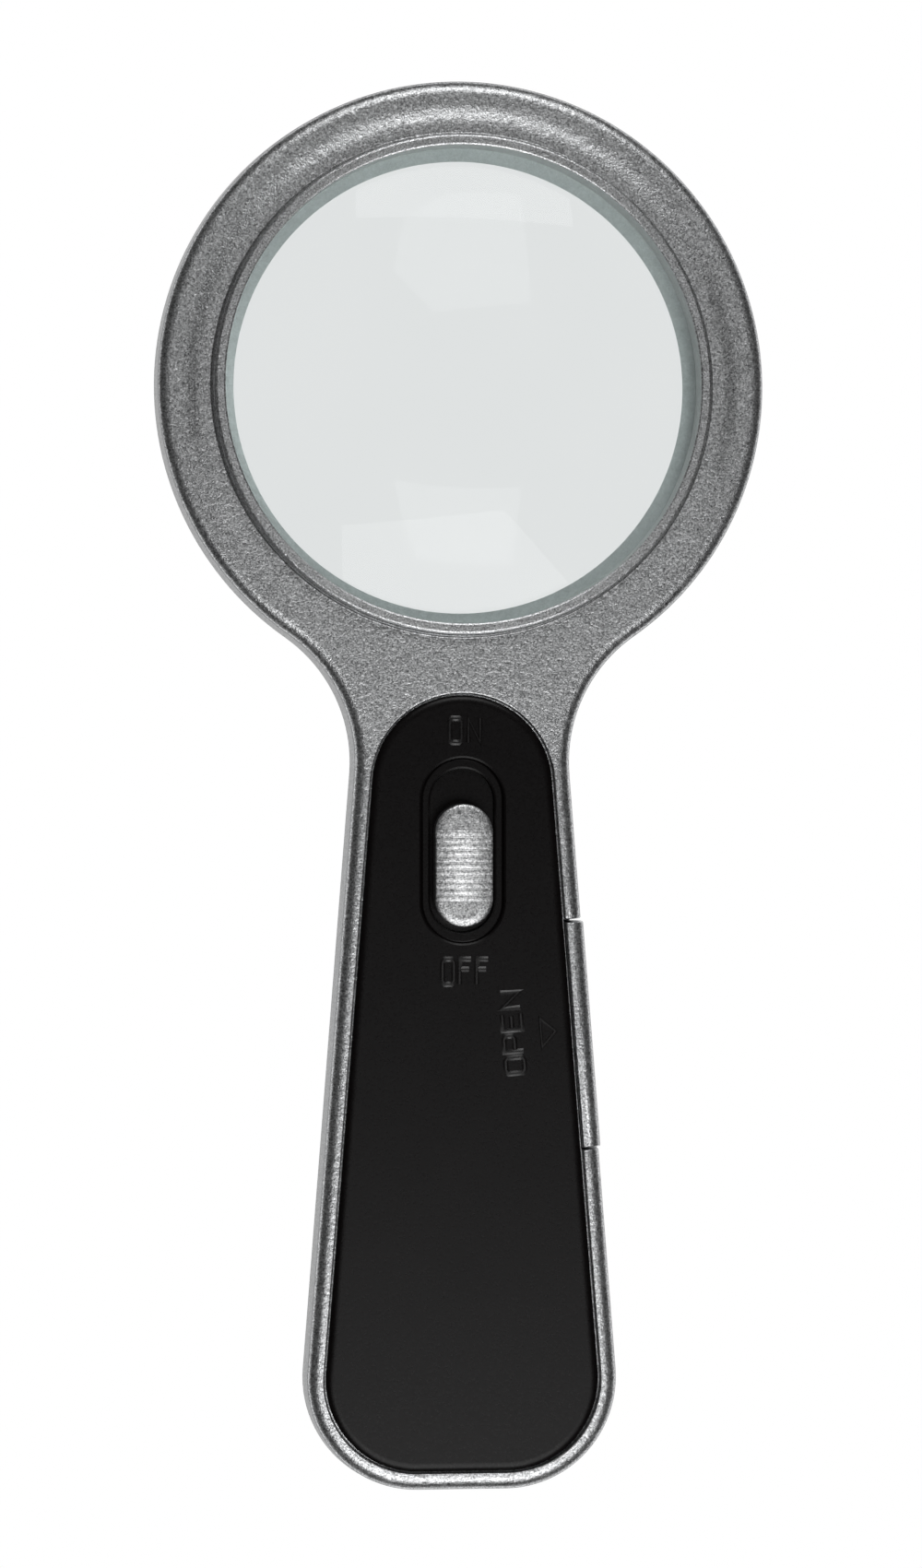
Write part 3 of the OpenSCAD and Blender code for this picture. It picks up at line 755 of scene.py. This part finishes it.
# The well's wall from its brink down: outline, height and inset
WELL_WALL = (
    (WELL_OUTER, INLAY_Z, -0.34),
    (WELL_OUTER, INLAY_Z - 0.09, -0.05),
    (WELL_OUTER, INLAY_Z - 0.2, 0.02),
    (WELL_OUTER, WELL_STEP_Z + 0.06, 0.2),
    (WELL_OUTER, WELL_STEP_Z, 0.34),
    (WELL_INNER, WELL_STEP_Z, -0.42),
    (WELL_INNER, WELL_STEP_Z - 0.09, -0.14),
    (WELL_INNER, WELL_STEP_Z - 0.24, -0.08),
    (WELL_INNER, WELL_FLOOR_Z, 0),
)


def inlay():
    s = Shape()
    closed = INLAY_LINE + INLAY_LINE[:1]
    edge = mirrored(roll(INLAY_ROLL_W, 0, 90, 12, INLAY_ROLL))
    edge = [(INLAY_GAP, RECESS_Z)] + around((INLAY_GAP + INLAY_ROLL_W, INLAY_Z - INLAY_ROLL), edge)
    sweep(s, closed, edge)
    mid = (0, WELL_Y)
    wall = [stadium(mid, size, z, inset) for size, z, inset in WELL_WALL]
    s.fill([[inset_of(p, edge[-1][0]) for p in INLAY_LINE], wall[0]], flat_at(INLAY_Z))
    s.skin(wall, closed=True)
    slot = rect((0, SWITCH_Y), SLOT, WELL_FLOOR_Z)
    s.fill([wall[-1], slot], flat_at(WELL_FLOOR_Z))
    low_slot = [(x, y, ROOF_Z) for x, y, _ in slot]
    s.skin([slot, low_slot], closed=True)
    boss = stadium(mid, WELL_BOSS, ROOF_Z)
    s.fill([boss, low_slot], flat_at(ROOF_Z))
    s.skin([boss, [(x, y, RECESS_Z) for x, y, _ in boss]], closed=True)
    s.fill([[inset_of(p, INLAY_GAP) for p in INLAY_LINE], boss], flat_at(RECESS_Z))
    build("inlay", s, "housing", "inlay_black", ["handle_inlay"])


# ---------------------------------------------------------------- generic lettering on the inlay

# A stroke's width at its foot and on top, its height, and how deep it reaches into the inlay
STROKE = 0.85
STROKE_TOP = 0.26
STROKE_H = 0.1
STROKE_ROOT = 0.1
SECTION = (
    (STROKE / 2, -STROKE_ROOT), (STROKE / 2, 0), (STROKE_TOP / 2, STROKE_H),
    (-STROKE_TOP / 2, STROKE_H), (-STROKE / 2, 0), (-STROKE / 2, -STROKE_ROOT),
)
MITRE = 0.5
# Letters as lines in a unit box, each with whether it is closed
GLYPHS = {
    "O": [(
        [(0.22, 0), (0.78, 0), (1, 0.14), (1, 0.86), (0.78, 1), (0.22, 1), (0, 0.86), (0, 0.14)], True
    )],
    "N": [([(0, 0), (0, 1), (1, 0), (1, 1)], False)],
    "F": [([(0, 0), (0, 1), (1, 1)], False), ([(0.12, 0.6), (0.82, 0.6)], False)],
    "P": [([(0, 0), (0, 1), (0.78, 1), (1, 0.86), (1, 0.56), (0.78, 0.44), (0.12, 0.44)], False)],
    "E": [([(1, 0), (0, 0), (0, 1), (1, 1)], False), ([(0.12, 0.52), (0.86, 0.52)], False)],
}


def ridge(shape, line, closed, size=1.0):
    """Raised stroke along a line, with sloping flanks and mitred corners; size scales its section."""
    n = len(line)
    rows = []
    for i, p in enumerate(line):
        before = line[i - 1] if i or closed else p
        after = line[(i + 1) % n] if i < n - 1 or closed else p
        d0 = Vector((p[0] - before[0], p[1] - before[1])).normalized()
        d1 = Vector((after[0] - p[0], after[1] - p[1])).normalized()
        d0 = d0 if d0.length else d1
        d1 = d1 if d1.length else d0
        across = Vector((-d0.y - d1.y, d0.x + d1.x)).normalized()
        across *= size / max(MITRE, across.dot(Vector((-d0.y, d0.x))))
        rows.append([(p[0] + across.x * w, p[1] + across.y * w, INLAY_Z + z * size) for w, z in SECTION])
    if closed:
        rows.append(rows[0])
    shape.skin(rows, closed=True)
    if not closed:
        shape.face(rows[0])
        shape.face(rows[-1])


def word(shape, text, centre, size, gap, place=lambda x, y: (x, y)):
    """Letters of a size (width, height), centred on a place, read along the turned x axis."""
    pitch = size[0] + gap
    for i, letter in enumerate(text):
        x0 = (i - (len(text) - 1) / 2) * pitch - size[0] / 2
        for line, closed in GLYPHS[letter]:
            turned = [place(x0 + x * size[0], (y - 0.5) * size[1]) for x, y in line]
            ridge(shape, [(centre[0] + a, centre[1] + b) for a, b in turned], closed)


def up_the_side(x, y):
    """Turns a word so that it reads up the handle's right side."""
    return on_side(-y, x)


POINTER = ((12.2, -99.5), (14.7, -101.5), (12.6, -104.0))
POINTER_SIZE = 0.7


def lettering():
    s = Shape()
    word(s, "ON", (0.35, -54.2), (1.85, 3.8), 1.1)
    word(s, "OFF", (0.4, -92.1), (1.8, 3.95), 0.9)
    word(s, "OPEN", (7.9, -101.75), (2.5, 2.95), 0.92, up_the_side)
    ridge(s, POINTER, True, POINTER_SIZE)
    build("lettering", s, "housing", "inlay_black", finishes_and_painted_light={"letter_black": everywhere})


# ---------------------------------------------------------------- lens


LENS_BEVEL = 0.12
LENS_STEP = 0.8
LENS_SEGMENTS = 192


def lens():
    s = Shape()
    edge_r = LENS_R - LENS_BEVEL
    back = [(r, LENS_Z - LENS_SAG + sag(r)) for r in steps(0, edge_r, LENS_STEP)]
    front = [(r, LENS_Z + LENS_EDGE + LENS_SAG - sag(r)) for r in steps(edge_r, 0, LENS_STEP)]
    rim = [(LENS_R, LENS_Z + LENS_BEVEL), (LENS_R, LENS_Z + LENS_EDGE - LENS_BEVEL)]
    revolve(s, (0, 0), back + rim + front, LENS_SEGMENTS)
    build("lens_glass", s, "housing", "lens_glass", ["lens"]).visible_shadow = False


# ---------------------------------------------------------------- switch button

BUTTON_ROLL = 0.25
BUTTON_ROLL_TURN = 66
BUTTON_ROLL_Z = BUTTON_FACE_Z - 0.35
BUTTON_CROWN = ((0.5, 0), (1.4, 0.03))
BUTTON_FOOT_Z = WELL_FLOOR_Z + 0.2
STEM_Z = (7.5, WELL_FLOOR_Z + 0.5)
RIB_GROOVE = 0.075
PAD_FOOT_Z = BUTTON_FACE_Z - 1.2
# A rib across its length: place as a share of the pitch, and depth as a share of the groove's
RIB_SECTION = ((-0.47, 1), (-0.43, 0.93), (-0.28, 0.47), (0.24, 0), (0.3, 0.05), (0.43, 0.93), (0.47, 1))
RIB_HALF_X = 4.56
# How far the ribs drop at their ends: distance inwards from the end, and drop
RIB_END = ((0, 0.3), (0.08, 0.1), (0.3, 0))


def rib_profile(z0, drop):
    """Line of (y, z) over the ribs: rounded tops between narrow grooves, lowered by drop."""
    half = RIBS * RIB_PITCH / 2
    line = [(-half, z0)]
    for i in range(RIBS):
        y = (i - (RIBS - 1) / 2) * RIB_PITCH
        top = BUTTON_FACE_Z + RIB_H - drop
        for u, share in RIB_SECTION:
            line.append((y + u * RIB_PITCH, top - share * RIB_GROOVE))
    return line + [(half, z0)]


def button():
    s = Shape()
    mid = (0, BUTTON_Y)
    rows = [stadium(mid, BUTTON, BUTTON_FOOT_Z)]
    for x, z in roll(BUTTON_ROLL, 0, BUTTON_ROLL_TURN, 6):
        rows.append(stadium(mid, BUTTON, BUTTON_ROLL_Z + z, BUTTON_ROLL - x))
    rows += [stadium(mid, BUTTON, BUTTON_FACE_Z + rise, inset) for inset, rise in BUTTON_CROWN]
    s.skin(rows, closed=True)
    s.face(rows[0])
    s.face(rows[-1])
    block(s, (0, BUTTON_Y), STEM, STEM_Z)
    ends = [(x - RIB_HALF_X, drop) for x, drop in RIB_END]
    ends += mirrored(ends[::-1])
    pad = [[(x, BUTTON_Y + y, z) for y, z in rib_profile(PAD_FOOT_Z, drop)] for x, drop in ends]
    s.skin(pad)
    s.skin([[r[0] for r in pad], [r[-1] for r in pad]])
    s.face(pad[0])
    s.face(pad[-1])
    build("button", s, "switch", "button_silver", ["switch_button"])


# ---------------------------------------------------------------- battery drawer


FOOT_EDGE = ((-0.25, 0), (-0.08, 0.07), (0, 0.25))
DRAWER_OUTER_X = SIDE_OFFSET + PROUD
DRAWER_INNER_X = SIDE_OFFSET - RIM_W + 0.1
DRAWER_WALL_X = SIDE_OFFSET - 1.4
DRAWER_ENDS = (DRAWER_Y - DRAWER_LEN / 2, DRAWER_Y + DRAWER_LEN / 2)
END_MARGIN = 0.01


def outer_end(*points):
    """Whether an edge goes round an end of the drawer's face where it shows."""
    outside = min(from_side_axes(p.x, p.y)[0] for p in points) > DRAWER_WALL_X + END_MARGIN
    above = min(p.z for p in points) > FLANGE_Z + END_MARGIN
    return any(at_t(points, t) for t in DRAWER_ENDS) and (outside or above)


def drawer_face():
    s = Shape()
    section = [(DRAWER_INNER_X, FLANGE_Z), (DRAWER_WALL_X, FLANGE_Z), (DRAWER_WALL_X, DRAWER_Z)]
    section += around((DRAWER_OUTER_X - REAR_DRAFT, DRAWER_Z), FOOT_EDGE)
    section += [(DRAWER_OUTER_X, SPLIT_Z)]
    section += around((DRAWER_OUTER_X - DRAFT - ROLL_W, ROLL_Z), roll(ROLL_W, 0, 90, 12, FRONT_ROLL))
    section += [(DRAWER_OUTER_X - SURFACE_D, FRONT_Z)]
    groove = mirrored(roll(GROOVE_ROLL, 90, 0, 6))
    section += around((DRAWER_INNER_X + GROOVE_ROLL, FRONT_Z - GROOVE_ROLL), groove)
    rows = [[(*on_side(x, t), z) for x, z in section] for t in DRAWER_ENDS]
    s.skin(rows, closed=True)
    for r in rows:
        s.face(r)
    # The drawer face's outer side gets painted shade, by a darker copy of the silver paint.
    build(
        "drawer_front", s, "drawer", "housing_silver", ["drawer_face"],
        rounded=outer_end, finishes_and_painted_light={"side_painted_shade_silver": on_outer_side},
    )


# ---------------------------------------------------------------- screws

SCREW_ROUND = ((-0.5, 0), (-0.22, 0.09), (-0.06, 0.27), (0, 0.5))
SCREW_SHANK_R = 1.0
SCREW_TIP_R = 0.5
SCREW_TIP_Z = (9.5, 10)
# The cross recess at its mouth and at its foot: reach, half width, depth
CROSS_MOUTH = (1.15, 0.27, 0)
CROSS_FOOT = (0.8, 0.2, 0.85)


def cross(centre, reach, half, depth):
    """Outline of a cross-shaped recess, at a depth in the screw's head."""
    z = SCREW_HEAD_Z + depth
    quarter = [(reach, -half), (reach, half), (half, half)]
    out = []
    for k in range(4):
        c, s = cos(90 * k), sin(90 * k)
        out += [(centre[0] + c * x - s * y, centre[1] + s * x + c * y, z) for x, y in quarter]
    return out


def screws(name, places):
    s = Shape()
    profile = around((SCREW_HEAD_R, SCREW_HEAD_Z), SCREW_ROUND) + [
        (SCREW_HEAD_R, SCREW_FOOT_Z), (SCREW_SHANK_R, SCREW_FOOT_Z),
        (SCREW_SHANK_R, SCREW_TIP_Z[0]), (SCREW_TIP_R, SCREW_TIP_Z[1]),
    ]
    for p in places:
        mouth = cross(p, *CROSS_MOUTH)
        foot = cross(p, *CROSS_FOOT)
        s.fill([ring(p, profile[0][0], SCREW_HEAD_Z, SCREW_SEGMENTS), mouth], flat_at(SCREW_HEAD_Z))
        s.skin([mouth, foot], closed=True)
        s.face(foot)
        revolve(s, p, profile, SCREW_SEGMENTS)
        disc(s, p, SCREW_TIP_R, SCREW_TIP_Z[1], SCREW_SEGMENTS)
    build(name, s, "housing", "screw_steel", [name])


def all_screws():
    screws("head_screws", SCREW_PLACES)
    screws("handle_screws", HANDLE_SCREWS)


# ---------------------------------------------------------------- lamps

LAMP_R = 1.5
LAMP_SEGMENTS = 32
FLANGE_R = 1.9
FLANGE_H = 1.0
FLANGE_ROUND = ((-0.4, -0.1), (-0.32, 0), (-0.08, 0.02), (0, 0.12))
LEG_R = 0.25
LEG_X = 1.27
LEG_ROOT = 0.2
LEG_SEGMENTS = 12


def lamps():
    board_z = low("led_board").z
    tip_z = low("led_centre").z
    dome = [(LAMP_R * sin(a), tip_z + LAMP_R - LAMP_R * cos(a)) for a in steps(0, 90, 9)]
    flange = around((FLANGE_R, board_z - FLANGE_H), FLANGE_ROUND) + [(FLANGE_R, board_z), (0, board_z)]
    for node, p in zip(("led_left", "led_centre", "led_right"), LAMP_PLACES):
        s = Shape()
        revolve(s, p, dome + flange, LAMP_SEGMENTS)
        for side in (-LEG_X, LEG_X):
            post(s, (p[0] + side, p[1]), LEG_R, board_z - LEG_ROOT, high(node).z, LEG_SEGMENTS)
        build(node.replace("led", "lamp"), s, "housing", "lamp_epoxy", [node])


# ---------------------------------------------------------------- coin cells

CELL_R = 10.0
CELL_X = -0.5
# The cap stands over a groove round the foot; the can's rim is rounded, with a shallow ring on top
CAP = (
    (-2.1, 0), (-1.95, 0.05), (-1.88, 0.2), (-1.4, 0.32), (-1.2, 0.25), (-1.0, 0.25),
    (-0.8, 0.32), (-0.25, 0.36), (-0.06, 0.5), (0, 0.75),
)
CAN = (
    (0, -0.42), (-0.07, -0.2), (-0.28, -0.06), (-0.6, 0),
    (-1.3, 0), (-1.45, -0.07), (-1.8, -0.07), (-1.95, 0),
)
PLUS_Y = 3.8
# The two bars of the plus mark: size, and how far they stand over the can
PLUS_BARS = (((0.8, 3.2), 0.02), ((3.2, 0.8), 0.019))
PLUS_ROOT = 0.3


def cells():
    p = on_side(CELL_X, DRAWER_Y)
    for node in ("lower_cell", "upper_cell"):
        s = Shape()
        foot, top = low(node).z, high(node).z
        revolve(s, p, [(0, foot)] + around((CELL_R, foot), CAP) + around((CELL_R, top), CAN) + [(0, top)])
        for size, rise in PLUS_BARS:
            block(s, (p[0], p[1] + PLUS_Y), size, (top - PLUS_ROOT, top + rise))
        build(node.replace("_", "_coin_"), s, "drawer", "cell_steel", [node])


# ---------------------------------------------------------------- materials


class Nodes:
    """A new material's nodes, none at first."""

    def __init__(self, name):
        self.material = bpy.data.materials.new(name)
        self.material.use_nodes = True
        self.tree = self.material.node_tree
        self.tree.nodes.clear()

    def node(self, kind):
        return self.tree.nodes.new("ShaderNode" + kind)

    def link(self, output, socket):
        self.tree.links.new(output, socket)


class Surface(Nodes):
    """One shader, fed by textures that lie in the piece's own space."""

    def __init__(self, name):
        super().__init__(name)
        self.shader = self.node("BsdfPrincipled")
        self.link(self.shader.outputs[0], self.node("OutputMaterial").inputs["Surface"])
        self.place = self.node("TexCoord").outputs["Object"]

    def set(self, socket, value):
        self.shader.inputs[socket].default_value = value

    def feed(self, socket, value, stops):
        """Drives a socket of the shader by the ramp of a value."""
        self.link(self.ramp(value, stops), self.shader.inputs[socket])

    def noise(self, size, detail=3.0, rough=0.6, stretch=None):
        """Noise with features about size millimetres across; stretch squeezes it along the axes."""
        place = self.place
        if stretch:
            mapping = self.node("Mapping")
            mapping.inputs["Scale"].default_value = stretch
            self.link(place, mapping.inputs["Vector"])
            place = mapping.outputs[0]
        node = self.node("TexNoise")
        node.inputs["Scale"].default_value = 1 / (size * MM)
        node.inputs["Detail"].default_value = detail
        node.inputs["Roughness"].default_value = rough
        self.link(place, node.inputs["Vector"])
        return node.outputs["Fac"]

    def ramp(self, value, stops):
        """Colours or greys at positions along a value."""
        node = self.node("ValToRGB")
        band = node.color_ramp
        while len(band.elements) < len(stops):
            band.elements.new(0.5)
        for element, (position, colour) in zip(band.elements, stops):
            element.position = position
            colour = (colour,) * 3 if isinstance(colour, float) else colour
            element.color = (*colour, 1)
        self.link(value, node.inputs["Fac"])
        return node.outputs["Color"]

    def multiply(self, a, b):
        node = self.node("Mix")
        node.data_type = "RGBA"
        node.blend_type = "MULTIPLY"
        node.inputs[0].default_value = 1.0
        self.link(a, node.inputs[6])
        self.link(b, node.inputs[7])
        return node.outputs[2]

    def bump(self, height, depth):
        """Adds a bump whose full height is depth millimetres, on top of any that is there."""
        node = self.node("Bump")
        node.inputs["Distance"].default_value = depth * MM
        self.link(height, node.inputs["Height"])
        for under in self.shader.inputs["Normal"].links:
            self.link(under.from_socket, node.inputs["Normal"])
        self.link(node.outputs["Normal"], self.shader.inputs["Normal"])


def metal_paint(name, dark, light, metallic, rough, grain, depth):
    """Sprayed silver: metal flakes of two sizes under a satin surface with an orange-peel grain."""
    made = Surface(name)
    fine = made.noise(grain, 2.0)
    coarse = made.noise(grain * 3.2, 2.0)
    between = [(a + b) / 2 for a, b in zip(dark, light)]
    tint = made.ramp(fine, [(0.3, dark), (0.5, between), (0.72, light)])
    cloud = made.ramp(coarse, [(0.3, 0.86), (0.7, 1.0)])
    made.link(made.multiply(tint, cloud), made.shader.inputs["Base Color"])
    patchy = made.noise(grain * 1.6, 1.0, 0.5)
    made.feed("Roughness", patchy, [(0.25, rough - 0.06), (0.75, rough + 0.08)])
    made.set("Metallic", metallic)
    made.bump(coarse, depth * 1.6)
    made.bump(fine, depth)
    return made.material


def housing_silver():
    return metal_paint("housing_silver", (0.2, 0.204, 0.208), (0.96, 0.97, 0.98), 1.0, 0.33, 0.27, 0.036)


# Painted shade: a darker copy of the silver paint for the outer side walls below the roll, so they read
# darker than the same paint would under these lamps.
def side_painted_shade_silver():
    return metal_paint("side_painted_shade_silver", (0.12, 0.123, 0.126), (0.42, 0.425, 0.43), 1.0, 0.36, 0.26, 0.028)


# Painted light: a lighter, greener, less metallic copy of the silver paint for the lens seat and the inner
# wall of the front opening, which lie in the collar's shade.
def seat_painted_light_silver():
    return metal_paint("seat_painted_light_silver", (0.62, 0.68, 0.67), (0.76, 0.83, 0.82), 0.35, 0.6, 0.30, 0.004)


def button_silver():
    return metal_paint("button_silver", (0.2, 0.205, 0.21), (0.98, 0.985, 0.99), 1.0, 0.36, 0.28, 0.03)


def moulded_black(name, specular):
    """Black plastic with a fine grain and a slow change of tone; specular is how much it reflects."""
    made = Surface(name)
    grain = made.noise(0.45)
    wear = made.noise(9.0)
    made.feed("Base Color", wear, [(0.3, (0.0028, 0.0018, 0.0019)), (0.75, (0.0048, 0.0036, 0.0037))])
    made.feed("Roughness", grain, [(0.3, 0.26), (0.7, 0.33)])
    made.set("Specular IOR Level", specular)
    made.bump(grain, 0.006)
    return made.material


def inlay_black():
    return moulded_black("inlay_black", 0.2)


def letter_black():
    return moulded_black("letter_black", 0.5)


def tray_black():
    made = Surface("tray_black")
    grain = made.noise(0.5)
    made.feed("Base Color", grain, [(0.3, (0.012, 0.012, 0.013)), (0.75, (0.024, 0.024, 0.025))])
    made.feed("Roughness", grain, [(0.3, 0.42), (0.7, 0.55)])
    made.bump(grain, 0.01)
    return made.material


def lens_glass():
    made = Surface("lens_glass")
    film = made.noise(26.0, 2.0, 0.5)
    made.feed("Base Color", film, [(0.3, (0.745, 0.768, 0.768)), (0.7, (0.757, 0.778, 0.778))])
    made.set("Roughness", 0.0)
    made.set("IOR", 1.52)
    made.set("Specular Tint", (0.2, 0.2, 0.2, 1))
    made.set("Transmission Weight", 1.0)
    return made.material


def brushed(name, dark, light, rough, stretch, size=0.5):
    """Bare metal with fine drawn lines."""
    made = Surface(name)
    lines = made.noise(size, 3.0, 0.7, stretch)
    made.feed("Base Color", lines, [(0.25, dark), (0.75, light)])
    made.feed("Roughness", lines, [(0.3, rough - 0.05), (0.7, rough + 0.08)])
    made.set("Metallic", 1.0)
    made.bump(lines, 0.004)
    return made.material


def screw_steel():
    return brushed("screw_steel", (0.42, 0.42, 0.43), (0.62, 0.62, 0.63), 0.3, (1, 1, 0.2))


def cell_steel():
    return brushed("cell_steel", (0.66, 0.67, 0.68), (0.82, 0.83, 0.84), 0.24, (1, 0.06, 1), 0.3)


def nickel():
    return brushed("nickel", (0.55, 0.54, 0.51), (0.7, 0.69, 0.66), 0.28, (0.1, 1, 1), 0.3)


def brass():
    return brushed("brass", (0.62, 0.44, 0.18), (0.8, 0.6, 0.28), 0.3, (0.1, 1, 1), 0.3)


def solder():
    return brushed("solder", (0.5, 0.5, 0.51), (0.7, 0.7, 0.71), 0.3, (1, 1, 1), 0.4)


def plastic(name, dark, light, rough, grain=0.4, depth=0.006):
    """Moulded plastic with a fine grain."""
    made = Surface(name)
    skin = made.noise(grain)
    made.feed("Base Color", skin, [(0.3, dark), (0.7, light)])
    made.feed("Roughness", skin, [(0.3, rough - 0.04), (0.7, rough + 0.06)])
    made.bump(skin, depth)
    return made.material


def phenolic():
    return plastic("phenolic", (0.16, 0.07, 0.03), (0.27, 0.13, 0.06), 0.5, 0.6)


def circuit_green():
    return plastic("circuit_green", (0.01, 0.09, 0.03), (0.02, 0.15, 0.055), 0.3, 1.2, 0.01)


def resistor_tan():
    return plastic("resistor_tan", (0.5, 0.36, 0.2), (0.62, 0.47, 0.28), 0.35)


def wire_red():
    return plastic("wire_red", (0.42, 0.012, 0.01), (0.6, 0.03, 0.025), 0.35)


def wire_black():
    return plastic("wire_black", (0.012, 0.012, 0.012), (0.03, 0.03, 0.03), 0.38)


def lamp_epoxy():
    made = Surface("lamp_epoxy")
    haze = made.noise(1.2, 2.0, 0.5)
    made.feed("Base Color", haze, [(0.3, (0.9, 0.9, 0.82)), (0.7, (0.98, 0.98, 0.93))])
    made.set("Roughness", 0.08)
    made.set("IOR", 1.5)
    made.set("Transmission Weight", 0.55)
    return made.material


MAKERS = (
    housing_silver, side_painted_shade_silver, seat_painted_light_silver, button_silver, inlay_black, letter_black, tray_black,
    lens_glass, screw_steel, nickel, brass, phenolic, circuit_green, lamp_epoxy, resistor_tan,
    cell_steel, wire_red, wire_black, solder,
)
made_materials = {}


def material_for(slot):
    if slot not in made_materials:
        made_materials[slot] = next(m for m in MAKERS if m.__name__ == slot)()
    return made_materials[slot]


# ---------------------------------------------------------------- CAD nodes that stay

KEPT = {
    "switch_slider": "tray_black",
    "switch_wiper": "brass",
    "switch_frame": "nickel",
    "switch_base": "phenolic",
    "switch_terminals": "nickel",
    "switch_board": "circuit_green",
    "led_board": "circuit_green",
    "series_resistor": "resistor_tan",
    "drawer_tray": "tray_black",
    "positive_contact": "nickel",
    "negative_contact": "nickel",
    "positive_wire": "wire_red",
    "negative_wire": "wire_black",
    "led_wire": "wire_red",
    "solder_joints": "solder",
}
BEVELLED = {"drawer_tray": 0.25, "switch_frame": 0.12, "switch_board": 0.1, "led_board": 0.1}
BEVEL_FROM = 40


def dress_cad_nodes():
    for node, slot in KEPT.items():
        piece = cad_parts[node]
        piece.data.materials.clear()
        piece.data.materials.append(material_for(slot))
        if node in BEVELLED:
            bevel = piece.modifiers.new("bevel", "BEVEL")
            bevel.width = BEVELLED[node] * MM
            bevel.segments = BEVEL_SEGMENTS
            bevel.limit_method = "ANGLE"
            bevel.angle_limit = math.radians(BEVEL_FROM)


# ---------------------------------------------------------------- studio

# In metres
FLOOR_HALF = 4.0
FLOOR_Z_BELOW = -0.0002
FLOOR_LIT = 0.27
FLOOR_DIM_AT = 0.9
FLOOR_DIM = 0.45
BOX_Z = 2.0
NORTH_BOX = ((-0.24, 1.0), (0.8, 1.0), (0.8, 2.14), (-0.24, 2.14))
SOUTH_BOX = ((-0.3, -0.405), (0.42, -0.33), (0.79, -0.71), (0.79, -1.3), (0.44, -1.63), (-0.3, -1.63))
NORTH_LIGHT = 4.15
SOUTH_LIGHT = 3.75
FILL = 0.05
CAMERA = (-0.095, 0.0, 0.83)
AIM = (0.0004, 0.0002, 0.0074)
FOCAL_MM = 120.2


def emitter(name, corners, z, strength):
    """Flat white light, part of the stage."""
    mesh = bpy.data.meshes.new(name)
    mesh.from_pydata([(x, y, z) for x, y in corners], [], [tuple(range(len(corners)))])
    plate = bpy.data.objects.new(name, mesh)
    bpy.context.scene.collection.objects.link(plate)
    made = Nodes(name)
    glow = made.node("Emission")
    glow.inputs["Strength"].default_value = strength
    out = made.node("OutputMaterial")
    made.link(glow.outputs[0], out.inputs["Surface"])
    mesh.materials.append(made.material)
    return plate, made, glow, out


def soften_floor(made, glow, out):
    """The floor dims away from the object and can be looked through from below."""
    far = made.node("VectorMath")
    far.operation = "LENGTH"
    made.link(made.node("TexCoord").outputs["Object"], far.inputs[0])
    fade = made.node("MapRange")
    fade.interpolation_type = "SMOOTHSTEP"
    fade.inputs["From Min"].default_value = FLOOR_LIT
    fade.inputs["From Max"].default_value = FLOOR_DIM_AT
    fade.inputs["To Min"].default_value = 1.0
    fade.inputs["To Max"].default_value = FLOOR_DIM
    made.link(far.outputs["Value"], fade.inputs["Value"])
    made.link(fade.outputs["Result"], glow.inputs["Strength"])
    side = made.node("MixShader")
    made.link(made.node("NewGeometry").outputs["Backfacing"], side.inputs[0])
    made.link(glow.outputs[0], side.inputs[1])
    made.link(made.node("BsdfTransparent").outputs[0], side.inputs[2])
    made.link(side.outputs[0], out.inputs["Surface"])


def lights():
    corners = [(a * FLOOR_HALF, b * FLOOR_HALF) for a, b in ((-1, -1), (1, -1), (1, 1), (-1, 1))]
    soften_floor(*emitter("floor", corners, FLOOR_Z_BELOW, 1.0)[1:])
    emitter("north_box", NORTH_BOX, BOX_Z, NORTH_LIGHT)[0].visible_camera = False
    emitter("south_box", SOUTH_BOX, BOX_Z, SOUTH_LIGHT)[0].visible_camera = False
    world = bpy.data.worlds.new("studio")
    world.use_nodes = True
    background = world.node_tree.nodes["Background"]
    background.inputs["Color"].default_value = (1, 1, 1, 1)
    background.inputs["Strength"].default_value = FILL
    bpy.context.scene.world = world
    bpy.context.scene.view_settings.view_transform = "Standard"


def camera():
    """A camera that looks at AIM, with the handle's axis upright in the picture."""
    data = bpy.data.cameras.new("camera")
    data.lens = FOCAL_MM
    made = bpy.data.objects.new("camera", data)
    made.location = CAMERA
    forward = (Vector(AIM) - Vector(CAMERA)).normalized()
    right = forward.cross(Vector((0, 1, 0))).normalized()
    turn = Matrix((right, right.cross(forward), -forward)).transposed()
    made.rotation_mode = "QUATERNION"
    made.rotation_quaternion = turn.to_quaternion()
    bpy.context.scene.collection.objects.link(made)
    bpy.context.scene.camera = made


# ---------------------------------------------------------------- everything

PARTS = (front_shell, rear_shell, inlay, lettering, lens, button, drawer_face, all_screws, lamps, cells)
for make in PARTS + (dress_cad_nodes, lights, camera):
    make()
